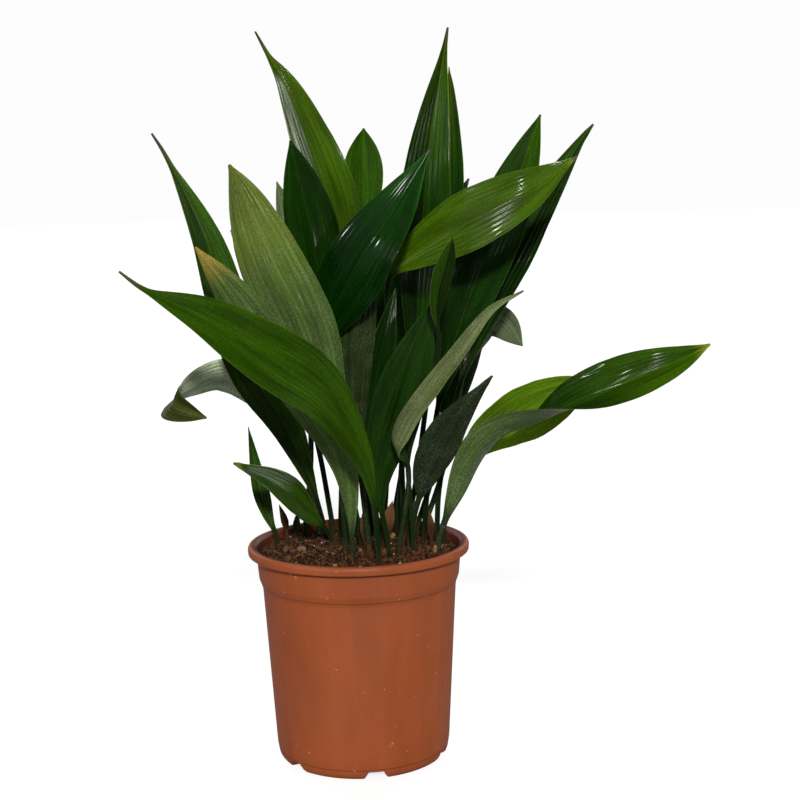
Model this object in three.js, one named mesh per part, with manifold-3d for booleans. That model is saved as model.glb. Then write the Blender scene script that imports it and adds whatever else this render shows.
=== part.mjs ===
// A cast iron plant in a round plastic nursery pot, in millimetres, +Z up.
// The pot stands on Z = 0. The origin is under the middle of the whole plant, because its leaves
// reach further to one side of the pot than to the other.
import * as THREE from 'three';
import { mergeVertices } from 'three/addons/utils/BufferGeometryUtils.js';
import Module from 'manifold-3d';

const wasm = await Module();
wasm.setup();

// Driving dimensions of the pot
const POT_HEIGHT = 206;
const RIM_RADIUS = 105;
const RIM_DROP = 8;
const RIM_SKIRT = 2;
const RIM_TAPER = 0.5;
const RIM_ROUND = 1.2;
const RIM_LIP = 6.4;
const LIP_DROP = 2.8;
const COLLAR_RADIUS = 97.5;
const COLLAR_FOOT_RADIUS = 95;
const COLLAR_FOOT_HEIGHT = 175;
const WALL_TOP_RADIUS = 91.8;
const WALL_TOP_HEIGHT = 166;
const WALL_FOOT_RADIUS = 82.8;
const CORNER_HEIGHT = 14;
const CORNER_LOWER_RADIUS = 81;
const CORNER_LOWER_HEIGHT = 4;
const FOOT_RADIUS = 77.5;
const FOOT_WIDTH = 7;
const WALL = 1.8;
const PLATE_UNDERSIDE = 9;
const POT_SIDES = 36;

// Notches in the foot ring and drain holes in the raised bottom plate
const NOTCH_COUNT = 6;
const NOTCH_WIDTH = 18;
const NOTCH_HEIGHT = 7.5;
const NOTCH_DEPTH = 24;
const FIRST_NOTCH = 7.7;
const DRAIN_COUNT = 6;
const DRAIN_RADIUS = 4.5;
const DRAIN_RING = 46;
const DRAIN_SIDES = 10;

// Soil and rhizomes
const SOIL_EDGE = 197;
const SOIL_EDGE_RADIUS = 94.4;
const SOIL_CROWN = 3;
const SOIL_CROWN_RADIUS = 30;
const SOIL_SHOULDER_RADIUS = 60;
const SOIL_SHOULDER = 2.1;
const SOIL_LUMP = 1.2;
const LUMP_WIDTH = 9;
const LUMP_DEPTH = 11;
const RHIZOME_RADIUS = 6;
const RHIZOME_SIDES = 6;
const RHIZOME_HEIGHT = 168;
const RHIZOME_END = 4;
const RHIZOME_END_RADIUS = 3.6;

// Leaves
const STEM = 2.6;
const COLLAR_HEIGHT = 207;
const BLADE = 0.9;
const STEM_EDGE = 0.7;
const TIP = 0.5;
const TAIL = 3;
const TAIL_END = 0.3;
const STEM_RINGS = 3;
const BLADE_RINGS = 12;
const ACROSS = [-1, -0.5, 0, 0.5, 1];
const STEM_TO_BLADE = 0.22;
const WAVE_OFFSET = 0.4;

const GAP = 0.3;
const HOLE_SIDES = 8;

// Where the pot's axis stands, so that the origin is under the middle of the plant
const POT_AXIS = new THREE.Vector3(-62, -38, 0);

// Colours: leaves that show their upper side in light or in shade, leaves that show their
// underside, and the papery sheaths between the stems
const TERRACOTTA = 0xa8583a;
const SOIL_BROWN = 0x4a3526;
const ROOT_CREAM = 0xb9a77c;
const BRIGHT = 0x3f7a1b;
const DARK = 0x1d4f16;
const PALE = 0x7c8f66;
const PAPERY = 0xa98a62;

// Roughness of each kind of surface
const PLASTIC_ROUGHNESS = 0.55;
const SOIL_ROUGHNESS = 0.95;
const ROOT_ROUGHNESS = 0.8;
const LEAF_ROUGHNESS = 0.4;

// The leaves and, last, a shoot and dry sheaths of the same form. Each row holds its root on the
// soil, its half width, the share of the length that is stem, the place of the widest point, how
// full the outline is towards the stem and the tip, the share that is a narrow tail, the
// directions that the upper side faces at the stem and at the tip, the fold in degrees, the height
// and the number of the edge's waves, and the points that the middle vein passes through.
const LEAVES = [
  {
    name: 'leaf_front_left', root: [18, -62], half: 29, stem: 0.12, widest: 0.52,
    full: [1.2, 2.2], tail: 0.08, facing: [[1, -0.9, 0.3], [0.1, -0.9, 0.4]], fold: 12,
    wave: 2, waves: 1.5, colour: BRIGHT,
    spine: [[14, -86, 263], [3, -104, 308], [-27, -132, 364], [-72, -150, 400], [-123, -162, 436],
      [-168, -168, 459], [-188, -170, 475]],
  },
  {
    name: 'leaf_broad_left', root: [-12, -14], half: 33, stem: 0.25, widest: 0.5,
    full: [1.6, 3], tail: 0, facing: [[0.2, 1, 0.2], [0.4, 1, 0.2]], fold: 8,
    wave: 1.5, waves: 1, colour: PALE,
    spine: [[-14, -38, 255], [-17, -55, 310], [-44, -80, 411], [-72, -90, 478], [-93, -92, 538],
      [-102, -92, 560]],
  },
  {
    name: 'leaf_pale_left', root: [-6, -36], half: 25, stem: 0.02, widest: 0.62,
    full: [1.4, 2.4], tail: 0, facing: [[0.2, 1, 0.2], [0.3, 1, 0.4]], fold: 12,
    wave: 1.5, waves: 1, colour: PALE,
    spine: [[-7, -52, 261], [-17, -72, 306], [-45, -98, 360], [-78, -118, 411],
      [-106, -132, 458], [-129, -138, 492]],
  },
  {
    name: 'leaf_far_left', root: [-32, 42], half: 23, stem: 0.08, widest: 0.5,
    full: [2.2, 2], tail: 0.08, facing: [[0.6, -0.8, 0.3], [0.4, -1, 0.2]], fold: 12,
    wave: 2, waves: 2, colour: DARK,
    spine: [[-45, 22, 262], [-68, -8, 325], [-97, -32, 380], [-114, -50, 441], [-129, -56, 500],
      [-158, -58, 566], [-171, -58, 589]],
  },
  {
    name: 'leaf_curled_left', root: [-38, 64], half: 19, stem: 0.3, widest: 0.5,
    full: [1.6, 3.6], tail: 0, facing: [[0.3, 1.8, 0.3], [-0.4, -0.35, 0.2]], fold: 10,
    wave: 1, waves: 2, colour: PALE,
    spine: [[-50, 50, 269], [-68, 38, 314], [-96, 20, 350], [-122, 10, 365], [-147, 5, 358],
      [-164, -3, 350], [-169, -18, 344], [-159, -28, 339], [-136, -28, 332]],
  },
  {
    name: 'leaf_spear_left', root: [-78, 24], half: 9, stem: 0.05, widest: 0.4,
    rings: 9, full: [1.8, 1.3], tail: 0, facing: [[0.5, -1, 0], [0.5, -1, 0]], fold: 20,
    wave: 0, waves: 1, colour: DARK,
    spine: [[-87, 26, 228], [-95, 24, 260], [-102, 22, 315]],
  },
  {
    name: 'leaf_small_left', root: [-25, 18], half: 16, stem: 0.1, widest: 0.45,
    rings: 9, full: [2, 1.6], tail: 0.03, facing: [[0.4, -0.8, 0.4], [0.2, -0.8, 0.6]], fold: 12,
    wave: 1, waves: 1.5, colour: BRIGHT,
    spine: [[-45, -4, 234], [-61, -26, 257], [-80, -48, 276], [-109, -78, 298]],
  },
  {
    name: 'leaf_tall_left', root: [-6, 40], half: 28, stem: 0.42, widest: 0.5,
    full: [1.6, 1.8], tail: 0.08, facing: [[0.2, -1, 0], [0.5, -0.9, 0.2]], fold: 25,
    wave: 1.5, waves: 2, colour: BRIGHT,
    spine: [[-4, 35, 320], [1, 20, 433], [-22, 4, 532], [-53, -2, 626], [-69, -2, 656],
      [-81, -2, 680]],
  },
  {
    name: 'leaf_dark_left', root: [-17, 8], half: 25, stem: 0.4, widest: 0.62,
    full: [1.6, 2], tail: 0, facing: [[0, -1, 0.2], [0.3, -1, 0.2]], fold: 8,
    wave: 1.5, waves: 1, colour: DARK,
    spine: [[-14, -2, 304], [-23, -18, 410], [-34, -32, 497], [-51, -42, 581]],
  },
  {
    name: 'leaf_narrow_back', root: [-4, 62], half: 15, stem: 0.5, widest: 0.6,
    rings: 9, full: [1.6, 2.2], tail: 0, facing: [[0, 1, 0.2], [0.3, 1, 0.2]], fold: 10,
    wave: 1, waves: 1, colour: PALE,
    spine: [[-11, 60, 293], [-28, 70, 382], [-48, 78, 460], [-70, 84, 546]],
  },
  {
    name: 'leaf_short_back', root: [13, 54], half: 20, stem: 0.7, widest: 0.6,
    rings: 9, full: [1.8, 2.2], tail: 0, facing: [[0, -1, 0.2], [0.2, -1, 0.2]], fold: 8,
    wave: 1, waves: 1, colour: BRIGHT,
    spine: [[7, 60, 300], [8, 82, 449], [13, 92, 531], [16, 98, 596]],
  },
  {
    name: 'leaf_dark_middle', root: [3, -10], half: 29, stem: 0.47, widest: 0.42,
    full: [2, 1.9], tail: 0.03, facing: [[0.2, -1, 0.2], [-0.1, -1, 0.3]], fold: 8,
    wave: 2, waves: 1.5, colour: DARK,
    spine: [[-12, -12, 296], [-24, -24, 364], [-25, -44, 411], [10, -70, 478], [37, -78, 516],
      [71, -82, 569]],
  },
  {
    name: 'leaf_bright_right', root: [44, 14], half: 28, stem: 0.54, widest: 0.5,
    full: [1.6, 2], tail: 0.03, facing: [[-0.3, -1, 0.2], [0.1, -1, 0.4]], fold: 8,
    wave: 2, waves: 1.5, colour: BRIGHT,
    spine: [[42, 6, 310], [35, -6, 400], [34, -20, 454], [58, -36, 478], [89, -58, 498],
      [150, -92, 530], [195, -106, 560]],
  },
  {
    name: 'leaf_folded_middle', root: [10, -32], half: 21, stem: 0.3, widest: 0.6,
    rings: 9, full: [1.6, 1.8], tail: 0, facing: [[0, 1, 0.2], [0, 1, 0.2]], fold: 14,
    wave: 1.5, waves: 2, colour: PALE,
    spine: [[2, -36, 299], [-2, -40, 383], [9, -38, 442], [23, -34, 475]],
  },
  {
    name: 'leaf_tallest', root: [38, 34], half: 24, stem: 0.32, widest: 0.52,
    full: [1.8, 1.6], tail: 0.05, facing: [[0, -1, 0], [0.1, -1, 0]], fold: 10,
    wave: 1.5, waves: 1, colour: DARK,
    spine: [[47, 28, 307], [60, 24, 400], [68, 14, 507], [77, 8, 585], [94, 4, 681]],
  },
  {
    name: 'leaf_tall_back', root: [48, 56], half: 16, stem: 0.45, widest: 0.45,
    rings: 9, full: [1.6, 1.8], tail: 0, facing: [[0, -1, 0], [-0.3, -1, 0]], fold: 12,
    wave: 1, waves: 1, colour: DARK,
    spine: [[60, 54, 263], [81, 56, 410], [95, 58, 525], [99, 58, 619], [98, 58, 650]],
  },
  {
    name: 'leaf_back_right', root: [63, 14], half: 27, stem: 0.3, widest: 0.52,
    full: [1.6, 2.2], tail: 0, facing: [[-0.3, -1, 0.2], [-0.3, -1, 0.2]], fold: 10,
    wave: 1.5, waves: 1.5, colour: DARK,
    spine: [[70, 8, 280], [84, 0, 358], [108, -8, 433], [148, -4, 524], [178, 4, 601]],
  },
  {
    name: 'leaf_pleated_right', root: [76, 26], half: 20, stem: 0.35, widest: 0.5,
    full: [1.6, 1.7], tail: 0.03, facing: [[-0.3, -1, 0.2], [-0.3, -1, 0.2]], fold: 20,
    wave: 1.5, waves: 1.5, colour: DARK,
    spine: [[82, 32, 262], [110, 24, 378], [161, 10, 486], [207, 0, 565], [226, -2, 591]],
  },
  {
    name: 'leaf_small_upright', root: [51, -30], half: 9, stem: 0.72, widest: 0.6,
    rings: 9, full: [1.8, 2.2], tail: 0, facing: [[0, -1, 0], [0.2, -1, 0.2]], fold: 14,
    wave: 0.5, waves: 1, colour: PALE, stemRadius: 2,
    spine: [[49, -38, 252], [47, -49, 291], [57, -64, 331], [75, -80, 390], [73, -98, 438],
      [87, -114, 494]],
  },
  {
    name: 'leaf_middle_front', root: [28, -26], half: 24, stem: 0.12, widest: 0.58,
    full: [1.6, 1.8], tail: 0, facing: [[0, -1, 0.2], [0, -1, 0.2]], fold: 10,
    wave: 1.5, waves: 1, colour: BRIGHT,
    spine: [[20, -36, 262], [27, -46, 305], [50, -62, 375], [71, -72, 436]],
  },
  {
    name: 'leaf_crossing_front', root: [37, -44], half: 18, stem: 0.28, widest: 0.4,
    full: [4, 1.8], tail: 0.04, facing: [[0.75, 0.2, -0.6], [0.75, 0.2, -0.6]], fold: 52,
    wave: 1, waves: 1.5, colour: PALE,
    spine: [[47, -50, 266], [46, -59, 291], [33, -71, 315], [44, -84, 345], [83, -104, 396],
      [115, -116, 433], [146, -122, 448]],
  },
  {
    name: 'leaf_dark_right', root: [47, -11], half: 19, stem: 0.24, widest: 0.42,
    full: [2.2, 1.7], tail: 0.04, facing: [[-0.2, 1, 0.3], [-0.2, 1, 0.4]], fold: 10,
    wave: 1.5, waves: 1.5, colour: PALE,
    spine: [[58, -30, 254], [79, -60, 310], [93, -72, 334], [122, -84, 371]],
  },
  {
    name: 'leaf_low_right', root: [80, 4], half: 31, stem: 0.3, widest: 0.5,
    full: [1.6, 2], tail: 0, facing: [[0.3, -0.9, -0.4], [0.2, -1, -0.3]], fold: 10,
    wave: 1.5, waves: 1, colour: BRIGHT,
    spine: [[84, 0, 228], [98, -6, 266], [115, -14, 300], [147, -24, 324], [192, -34, 348],
      [224, -42, 358]],
  },
  {
    name: 'leaf_far_right', root: [74, -20], half: 27, stem: 0.06, widest: 0.62,
    full: [2.4, 2.4], tail: 0, facing: [[-0.4, 2, 0.6], [0, -1.8, 0.6]], fold: 28,
    wave: 2, waves: 1.5, colour: BRIGHT, stemRadius: 3,
    spine: [[90, -30, 251], [117, -50, 302], [165, -74, 328], [219, -84, 352], [252, -89, 367],
      [287, -93, 382], [313, -95, 395]],
  },
  {
    name: 'leaf_drooping_right', root: [65, 47], half: 19, stem: 0.6, widest: 0.5,
    full: [1.8, 2.6], tail: 0, facing: [[-0.3, 1, 0.4], [0.3, 1, 0.4]], fold: 8,
    wave: 1, waves: 1, colour: PALE,
    spine: [[85, 58, 261], [102, 72, 328], [111, 80, 372], [124, 84, 400], [144, 82, 404],
      [167, 74, 380]],
  },
  {
    name: 'leaf_narrow_middle', root: [20, 0], half: 14, stem: 0.25, widest: 0.55,
    rings: 9, full: [1.6, 1.8], tail: 0, facing: [[0.3, -1, 0], [0.3, -1, 0]], fold: 12,
    wave: 1, waves: 1, colour: DARK,
    spine: [[14, -4, 265], [12, -8, 304], [24, -16, 380], [40, -22, 446]],
  },
  {
    name: 'leaf_rear_left', root: [-52, 50], half: 24, stem: 0.35, widest: 0.5,
    rings: 9, full: [1.6, 1.9], tail: 0.03, facing: [[0, -0.5, 1], [0, -0.5, 1]], fold: 12,
    wave: 2, waves: 1.5, colour: DARK,
    spine: [[-45, 85, 275], [-47, 125, 360], [-50, 160, 425], [-54, 200, 465]],
  },
  {
    name: 'leaf_rear_middle', root: [8, 72], half: 25, stem: 0.4, widest: 0.5,
    rings: 9, full: [1.6, 1.9], tail: 0.03, facing: [[0, -0.7, 0.7], [0, -0.7, 0.7]], fold: 12,
    wave: 2, waves: 1.5, colour: DARK,
    spine: [[12, 90, 270], [16, 120, 350], [27, 150, 430], [42, 185, 505]],
  },
  {
    name: 'leaf_rear_right', root: [34, 62], half: 22, stem: 0.4, widest: 0.5,
    rings: 9, full: [1.6, 1.9], tail: 0.03, facing: [[-0.3, -0.7, 0.7], [-0.3, -0.7, 0.7]], fold: 12,
    wave: 2, waves: 1.5, colour: BRIGHT,
    spine: [[45, 85, 255], [64, 115, 335], [83, 145, 415], [98, 180, 490]],
  },
  {
    name: 'leaf_rear_outer', root: [56, 35], half: 20, stem: 0.35, widest: 0.5,
    rings: 9, full: [1.6, 1.9], tail: 0.03, facing: [[-0.4, -0.6, 0.8], [-0.4, -0.6, 0.8]], fold: 12,
    wave: 2, waves: 1.5, colour: DARK,
    spine: [[74, 64, 250], [100, 105, 325], [124, 145, 385], [146, 185, 425]],
  },
  {
    name: 'leaf_rear_low', root: [-4, 82], half: 22, stem: 0.3, widest: 0.5,
    rings: 9, full: [1.6, 1.9], tail: 0.03, facing: [[0, -0.3, 1], [0, 0.3, 1]], fold: 12,
    wave: 2, waves: 1.5, colour: BRIGHT,
    spine: [[-3, 105, 255], [5, 145, 300], [14, 195, 322], [24, 250, 310]],
  },
  {
    name: 'leaf_shaded_left', root: [-25, 60], half: 20, stem: 0.3, widest: 0.5,
    rings: 9, full: [1.8, 1.9], tail: 0.03, facing: [[-0.2, -1, 0.3], [-0.4, -0.8, 0.5]], fold: 12,
    wave: 2, waves: 1.5, colour: DARK,
    spine: [[-37, 68, 285], [-54, 78, 360], [-84, 92, 440], [-118, 104, 500]],
  },
  {
    name: 'leaf_shaded_right', root: [26, 76], half: 22, stem: 0.35, widest: 0.5,
    rings: 9, full: [1.8, 1.9], tail: 0.03, facing: [[0.2, -1, 0.3], [0.4, -0.8, 0.5]], fold: 12,
    wave: 2, waves: 1.5, colour: DARK,
    spine: [[36, 84, 300], [56, 96, 400], [84, 108, 480], [120, 118, 545]],
  },
  {
    name: 'shoot_left', root: [-60, 42], half: 4, stem: 0.02, widest: 0.3, rings: 3,
    full: [1.6, 1.4], tail: 0, facing: [[0, -1, 0], [0, -1, 0]], fold: 20,
    wave: 0, waves: 1, colour: BRIGHT, stemRadius: 2,
    spine: [[-60, 42, 216], [-58, 41, 228]],
  },
  {
    name: 'sheath_left', root: [-69, 33], half: 4, stem: 0.02, widest: 0.4, rings: 3,
    full: [1.6, 1.6], tail: 0, facing: [[0, 1, 0], [0, 1, 0]], fold: 25,
    wave: 0, waves: 1, colour: PAPERY, stemRadius: 1.8,
    spine: [[-71, 34, 220], [-76, 35, 236]],
  },
  {
    name: 'sheath_front', root: [7, -22], half: 5, stem: 0.02, widest: 0.4, rings: 3,
    full: [1.6, 1.6], tail: 0, facing: [[0, 1, 0], [0, 1, 0]], fold: 25,
    wave: 0, waves: 1, colour: PAPERY, stemRadius: 1.8,
    spine: [[6, -23, 222], [5, -24, 240]],
  },
  {
    name: 'sheath_middle', root: [24, -13], half: 7, stem: 0.02, widest: 0.45, rings: 3,
    full: [1.6, 1.6], tail: 0, facing: [[0, 1, 0], [0, 1, 0]], fold: 25,
    wave: 0, waves: 1, colour: PAPERY, stemRadius: 1.8,
    spine: [[28, -12, 226], [33, -12, 246]],
  },
  {
    name: 'sheath_right', root: [46, 2], half: 5, stem: 0.02, widest: 0.4, rings: 3,
    full: [1.6, 1.6], tail: 0, facing: [[0, 1, 0], [0, 1, 0]], fold: 25,
    wave: 0, waves: 1, colour: PAPERY, stemRadius: 1.8,
    spine: [[52, 0, 224], [54, -1, 244]],
  },
  {
    name: 'sheath_outer', root: [69, -4], half: 4, stem: 0.02, widest: 0.4, rings: 3,
    full: [1.6, 1.6], tail: 0, facing: [[0, 1, 0], [0, 1, 0]], fold: 25,
    wave: 0, waves: 1, colour: PAPERY, stemRadius: 1.8,
    spine: [[69, -6, 218], [68, -8, 234]],
  },
];

function smooth(value, end) {
  return THREE.MathUtils.smoothstep(value, 0, end);
}

// Curves and closed bodies from rings of points. A ring runs over the upper side from left to
// right and back over the underside, so that point i lies over point n - 1 - i.
function loft(rings) {
  const size = rings[0].length;
  const last = (rings.length - 1) * size;
  const faces = [];
  for (let k = 0; k < rings.length - 1; k += 1) {
    for (let i = 0; i < size; i += 1) {
      const next = (i + 1) % size;
      const [a, b] = [k * size + i, k * size + next];
      const [c, d] = [a + size, b + size];
      if (i < size / 2) {
        faces.push(a, b, c, b, d, c);
      } else {
        faces.push(a, b, d, a, d, c);
      }
    }
  }
  for (let i = 0; i < size / 2 - 1; i += 1) {
    const [left, right] = [size - 1 - i, size - 2 - i];
    faces.push(i, left, i + 1, i + 1, left, right);
    faces.push(last + i, last + i + 1, last + left, last + i + 1, last + right, last + left);
  }
  const geometry = new THREE.BufferGeometry().setFromPoints(rings.flat());
  geometry.setIndex(faces);
  geometry.computeVertexNormals();
  return geometry;
}

// The half width of a blade, as a share of its greatest half width, at a share of its length
function outline(share, leaf) {
  const body = Math.min(share / (1 - leaf.tail), 1);
  const [low, high] = leaf.full;
  if (body < leaf.widest) {
    return 1 - (1 - body / leaf.widest) ** low;
  }
  return 1 - ((body - leaf.widest) / (1 - leaf.widest)) ** high;
}

function leafRing(leaf, place, tangent, along) {
  const share = Math.max(0, (along - leaf.stem) / (1 - leaf.stem));
  const [start, end] = leaf.facing.map((direction) => new THREE.Vector3(...direction));
  const up = start.lerp(end, along).projectOnPlane(tangent).normalize();
  const side = new THREE.Vector3().crossVectors(tangent, up);
  const stem = leaf.stemRadius ?? STEM;
  const spread = outline(share, leaf);
  const flat = smooth(share, STEM_TO_BLADE);
  const thin = THREE.MathUtils.lerp(stem, TIP, Math.sqrt(share));
  const tail = leaf.tail ? flat * TAIL * Math.min(1, TAIL_END + (1 - share) / (2 * leaf.tail)) : 0;
  const half = Math.hypot(thin, tail, leaf.half * spread);
  const fold = THREE.MathUtils.degToRad(leaf.fold) * flat;
  const upper = [];
  const lower = [];
  for (const across of ACROSS) {
    const ripple = leaf.wave * spread * across ** 2;
    const phase = 2 * Math.PI * (leaf.waves * share + (across > 0 ? WAVE_OFFSET : 0));
    const lift = Math.abs(across) * half * Math.sin(fold) + ripple * Math.sin(phase);
    const round = Math.max(STEM_EDGE / 2, stem * Math.sqrt(1 - across ** 2));
    const depth = THREE.MathUtils.lerp(round, BLADE / 2, flat);
    const middle = place.clone().addScaledVector(side, across * half * Math.cos(fold));
    upper.push(middle.clone().addScaledVector(up, lift + depth));
    lower.unshift(middle.clone().addScaledVector(up, lift - depth));
  }
  return [...upper, ...lower];
}

function leafGeometry(leaf) {
  const [x, y] = leaf.root;
  const foot = new THREE.Vector3(x, y, rhizomeTop() + GAP);
  const collar = new THREE.Vector3(x, y, COLLAR_HEIGHT);
  const upright = new THREE.Vector3(0, 0, 1);
  const points = leaf.spine.map((point) => new THREE.Vector3(...point));
  const curve = new THREE.CatmullRomCurve3([collar, ...points], false, 'catmullrom', 0.5);
  const rings = [leafRing(leaf, foot, upright, 0), leafRing(leaf, collar, upright, 0)];
  const shares = [];
  for (let k = 1; k <= STEM_RINGS; k += 1) {
    shares.push((leaf.stem * k) / STEM_RINGS);
  }
  const bladeRings = leaf.rings ?? BLADE_RINGS;
  for (let k = 1; k <= bladeRings; k += 1) {
    shares.push(THREE.MathUtils.lerp(leaf.stem, 1, k / bladeRings));
  }
  for (const along of shares) {
    rings.push(leafRing(leaf, curve.getPointAt(along), curve.getTangentAt(along), along));
  }
  return loft(rings);
}

function rhizomeTop() {
  return RHIZOME_HEIGHT + RHIZOME_RADIUS * Math.cos(Math.PI / RHIZOME_SIDES);
}

// Solids for the joins and cuts
function solid(geometry) {
  const bare = geometry.clone();
  bare.deleteAttribute('normal');
  bare.deleteAttribute('uv');
  const merged = mergeVertices(bare);
  const vertProperties = Float32Array.from(merged.attributes.position.array);
  const triVerts = Uint32Array.from(merged.index.array);
  return new wasm.Manifold(new wasm.Mesh({ numProp: 3, vertProperties, triVerts }));
}

function geometryOf(body) {
  const { vertProperties, triVerts } = body.getMesh();
  const geometry = new THREE.BufferGeometry();
  geometry.setAttribute('position', new THREE.BufferAttribute(vertProperties, 3));
  geometry.setIndex(new THREE.BufferAttribute(triVerts, 1));
  geometry.computeVertexNormals();
  return geometry;
}

function together(geometries) {
  return geometries.map(solid).reduce((joined, body) => joined.add(body));
}

function turned(points) {
  const profile = points.map(([radius, height]) => new THREE.Vector2(radius, height));
  return new THREE.LatheGeometry(profile, POT_SIDES).rotateX(Math.PI / 2);
}

// Pot: one moulded shell with a rolled rim, a collar, a foot ring and a raised bottom plate
function potGeometry() {
  const shell = turned([
    [0, PLATE_UNDERSIDE],
    [FOOT_RADIUS - FOOT_WIDTH, PLATE_UNDERSIDE],
    [FOOT_RADIUS - FOOT_WIDTH, 0],
    [FOOT_RADIUS, 0],
    [CORNER_LOWER_RADIUS, CORNER_LOWER_HEIGHT],
    [WALL_FOOT_RADIUS, CORNER_HEIGHT],
    [WALL_TOP_RADIUS, WALL_TOP_HEIGHT],
    [COLLAR_FOOT_RADIUS, COLLAR_FOOT_HEIGHT],
    [COLLAR_RADIUS, POT_HEIGHT - LIP_DROP],
    [RIM_RADIUS - RIM_SKIRT, POT_HEIGHT - LIP_DROP],
    [RIM_RADIUS - RIM_SKIRT, POT_HEIGHT - RIM_DROP],
    [RIM_RADIUS - RIM_TAPER, POT_HEIGHT - RIM_DROP],
    [RIM_RADIUS, POT_HEIGHT - RIM_SKIRT],
    [RIM_RADIUS - RIM_ROUND, POT_HEIGHT],
    [RIM_RADIUS - RIM_LIP, POT_HEIGHT],
    [COLLAR_RADIUS - WALL, POT_HEIGHT - LIP_DROP],
    [COLLAR_FOOT_RADIUS - WALL, COLLAR_FOOT_HEIGHT],
    [WALL_TOP_RADIUS - WALL, WALL_TOP_HEIGHT],
    [WALL_FOOT_RADIUS - WALL, CORNER_HEIGHT],
    [FOOT_RADIUS, PLATE_UNDERSIDE + WALL],
    [0, PLATE_UNDERSIDE + WALL],
  ]);
  const cutters = [];
  for (let k = 0; k < NOTCH_COUNT; k += 1) {
    const turn = THREE.MathUtils.degToRad(FIRST_NOTCH + (360 * k) / NOTCH_COUNT);
    const notch = new THREE.BoxGeometry(NOTCH_WIDTH, NOTCH_DEPTH, 2 * NOTCH_HEIGHT);
    cutters.push(notch.translate(0, -FOOT_RADIUS, 0).rotateZ(turn));
  }
  for (let k = 0; k < DRAIN_COUNT; k += 1) {
    const turn = THREE.MathUtils.degToRad(FIRST_NOTCH + (360 * (k + 0.5)) / DRAIN_COUNT);
    const drain = new THREE.CylinderGeometry(DRAIN_RADIUS, DRAIN_RADIUS, 4 * WALL, DRAIN_SIDES);
    drain.rotateX(Math.PI / 2).translate(0, -DRAIN_RING, PLATE_UNDERSIDE + WALL / 2);
    cutters.push(drain.rotateZ(turn));
  }
  return geometryOf(solid(shell).subtract(together(cutters)));
}

// Rhizomes: creeping stems under the soil, each through the roots of its own leaves
const RHIZOMES = {
  rhizome_far_left: [[-78, 24], [-69, 33], [-60, 42], [-52, 50]],
  rhizome_left: [[-6, -36], [-12, -14], [-17, 8], [-25, 18], [-32, 42], [-38, 64]],
  rhizome_middle: [[18, -62], [10, -32], [3, -10], [-2, 14], [-6, 40], [-4, 62], [-4, 82]],
  rhizome_centre: [[37, -44], [28, -26], [20, 0], [16, 28], [13, 54], [8, 72]],
  rhizome_right: [[51, -30], [47, -11], [44, 14], [38, 34], [34, 62]],
  rhizome_outer: [[74, -20], [69, -4], [63, 14], [56, 35], [48, 56]],
  rhizome_far_right: [[80, 4], [76, 26], [65, 47]],
};

function rhizomeGeometry(roots, margin) {
  const line = roots.map(([x, y]) => new THREE.Vector3(x, y, RHIZOME_HEIGHT));
  const last = line.length - 1;
  const ahead = (k) => line[Math.min(k + 1, last)].clone().sub(line[Math.max(k - 1, 0)]).normalize();
  const ring = (place, tangent, radius) => {
    const side = new THREE.Vector3().crossVectors(tangent, new THREE.Vector3(0, 0, 1));
    return [2, 1, 0, -1, -2, -3].map((step) => {
      const angle = (2 * Math.PI * step) / RHIZOME_SIDES;
      const point = place.clone().addScaledVector(side, radius * Math.cos(angle));
      return point.setZ(place.z + radius * Math.sin(angle));
    });
  };
  const radius = RHIZOME_RADIUS + margin;
  const end = RHIZOME_END + margin;
  const rings = line.map((place, k) => ring(place, ahead(k), radius));
  const head = line[0].clone().addScaledVector(ahead(0), -end);
  const tail = line[last].clone().addScaledVector(ahead(last), end);
  rings.unshift(ring(head, ahead(0), RHIZOME_END_RADIUS + margin));
  rings.push(ring(tail, ahead(last), RHIZOME_END_RADIUS + margin));
  return loft(rings);
}

// Soil: fills the pot, with a low lumpy crown, a plain hole for each stem and the rhizomes' beds
function soilGeometry() {
  const body = turned([
    [0, PLATE_UNDERSIDE + WALL + GAP],
    [FOOT_RADIUS - GAP, PLATE_UNDERSIDE + WALL + GAP],
    [WALL_FOOT_RADIUS - WALL - GAP, CORNER_HEIGHT],
    [WALL_TOP_RADIUS - WALL - GAP, WALL_TOP_HEIGHT],
    [COLLAR_FOOT_RADIUS - WALL - GAP, COLLAR_FOOT_HEIGHT],
    [SOIL_EDGE_RADIUS, SOIL_EDGE],
    [SOIL_SHOULDER_RADIUS, SOIL_EDGE + SOIL_SHOULDER],
    [SOIL_CROWN_RADIUS, SOIL_EDGE + SOIL_CROWN],
    [0, SOIL_EDGE + SOIL_CROWN],
  ]);
  const place = body.attributes.position;
  for (let i = 0; i < place.count; i += 1) {
    const [x, y, z] = [place.getX(i), place.getY(i), place.getZ(i)];
    if (z >= SOIL_EDGE && (x !== 0 || y !== 0)) {
      place.setZ(i, z + SOIL_LUMP * Math.sin(x / LUMP_WIDTH) * Math.cos(y / LUMP_DEPTH));
    }
  }
  const beds = Object.values(RHIZOMES).map((roots) => rhizomeGeometry(roots, GAP));
  const holes = LEAVES.map((leaf) => {
    const radius = ((leaf.stemRadius ?? STEM) + GAP) / Math.cos(Math.PI / HOLE_SIDES);
    const bottom = rhizomeTop() - GAP;
    const height = COLLAR_HEIGHT - bottom;
    const hole = new THREE.CylinderGeometry(radius, radius, height, HOLE_SIDES);
    return hole.rotateX(Math.PI / 2).translate(...leaf.root, bottom + height / 2);
  });
  return geometryOf(solid(body).subtract(together([...beds, ...holes])));
}

// Materials
function matte(colour, roughness) {
  return new THREE.MeshStandardMaterial({ color: colour, roughness, metalness: 0 });
}

// The plant
const plant = new THREE.Group();
plant.position.copy(POT_AXIS);

function addPiece(name, geometry, material) {
  const piece = new THREE.Mesh(geometry, material);
  piece.name = name;
  plant.add(piece);
}

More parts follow.
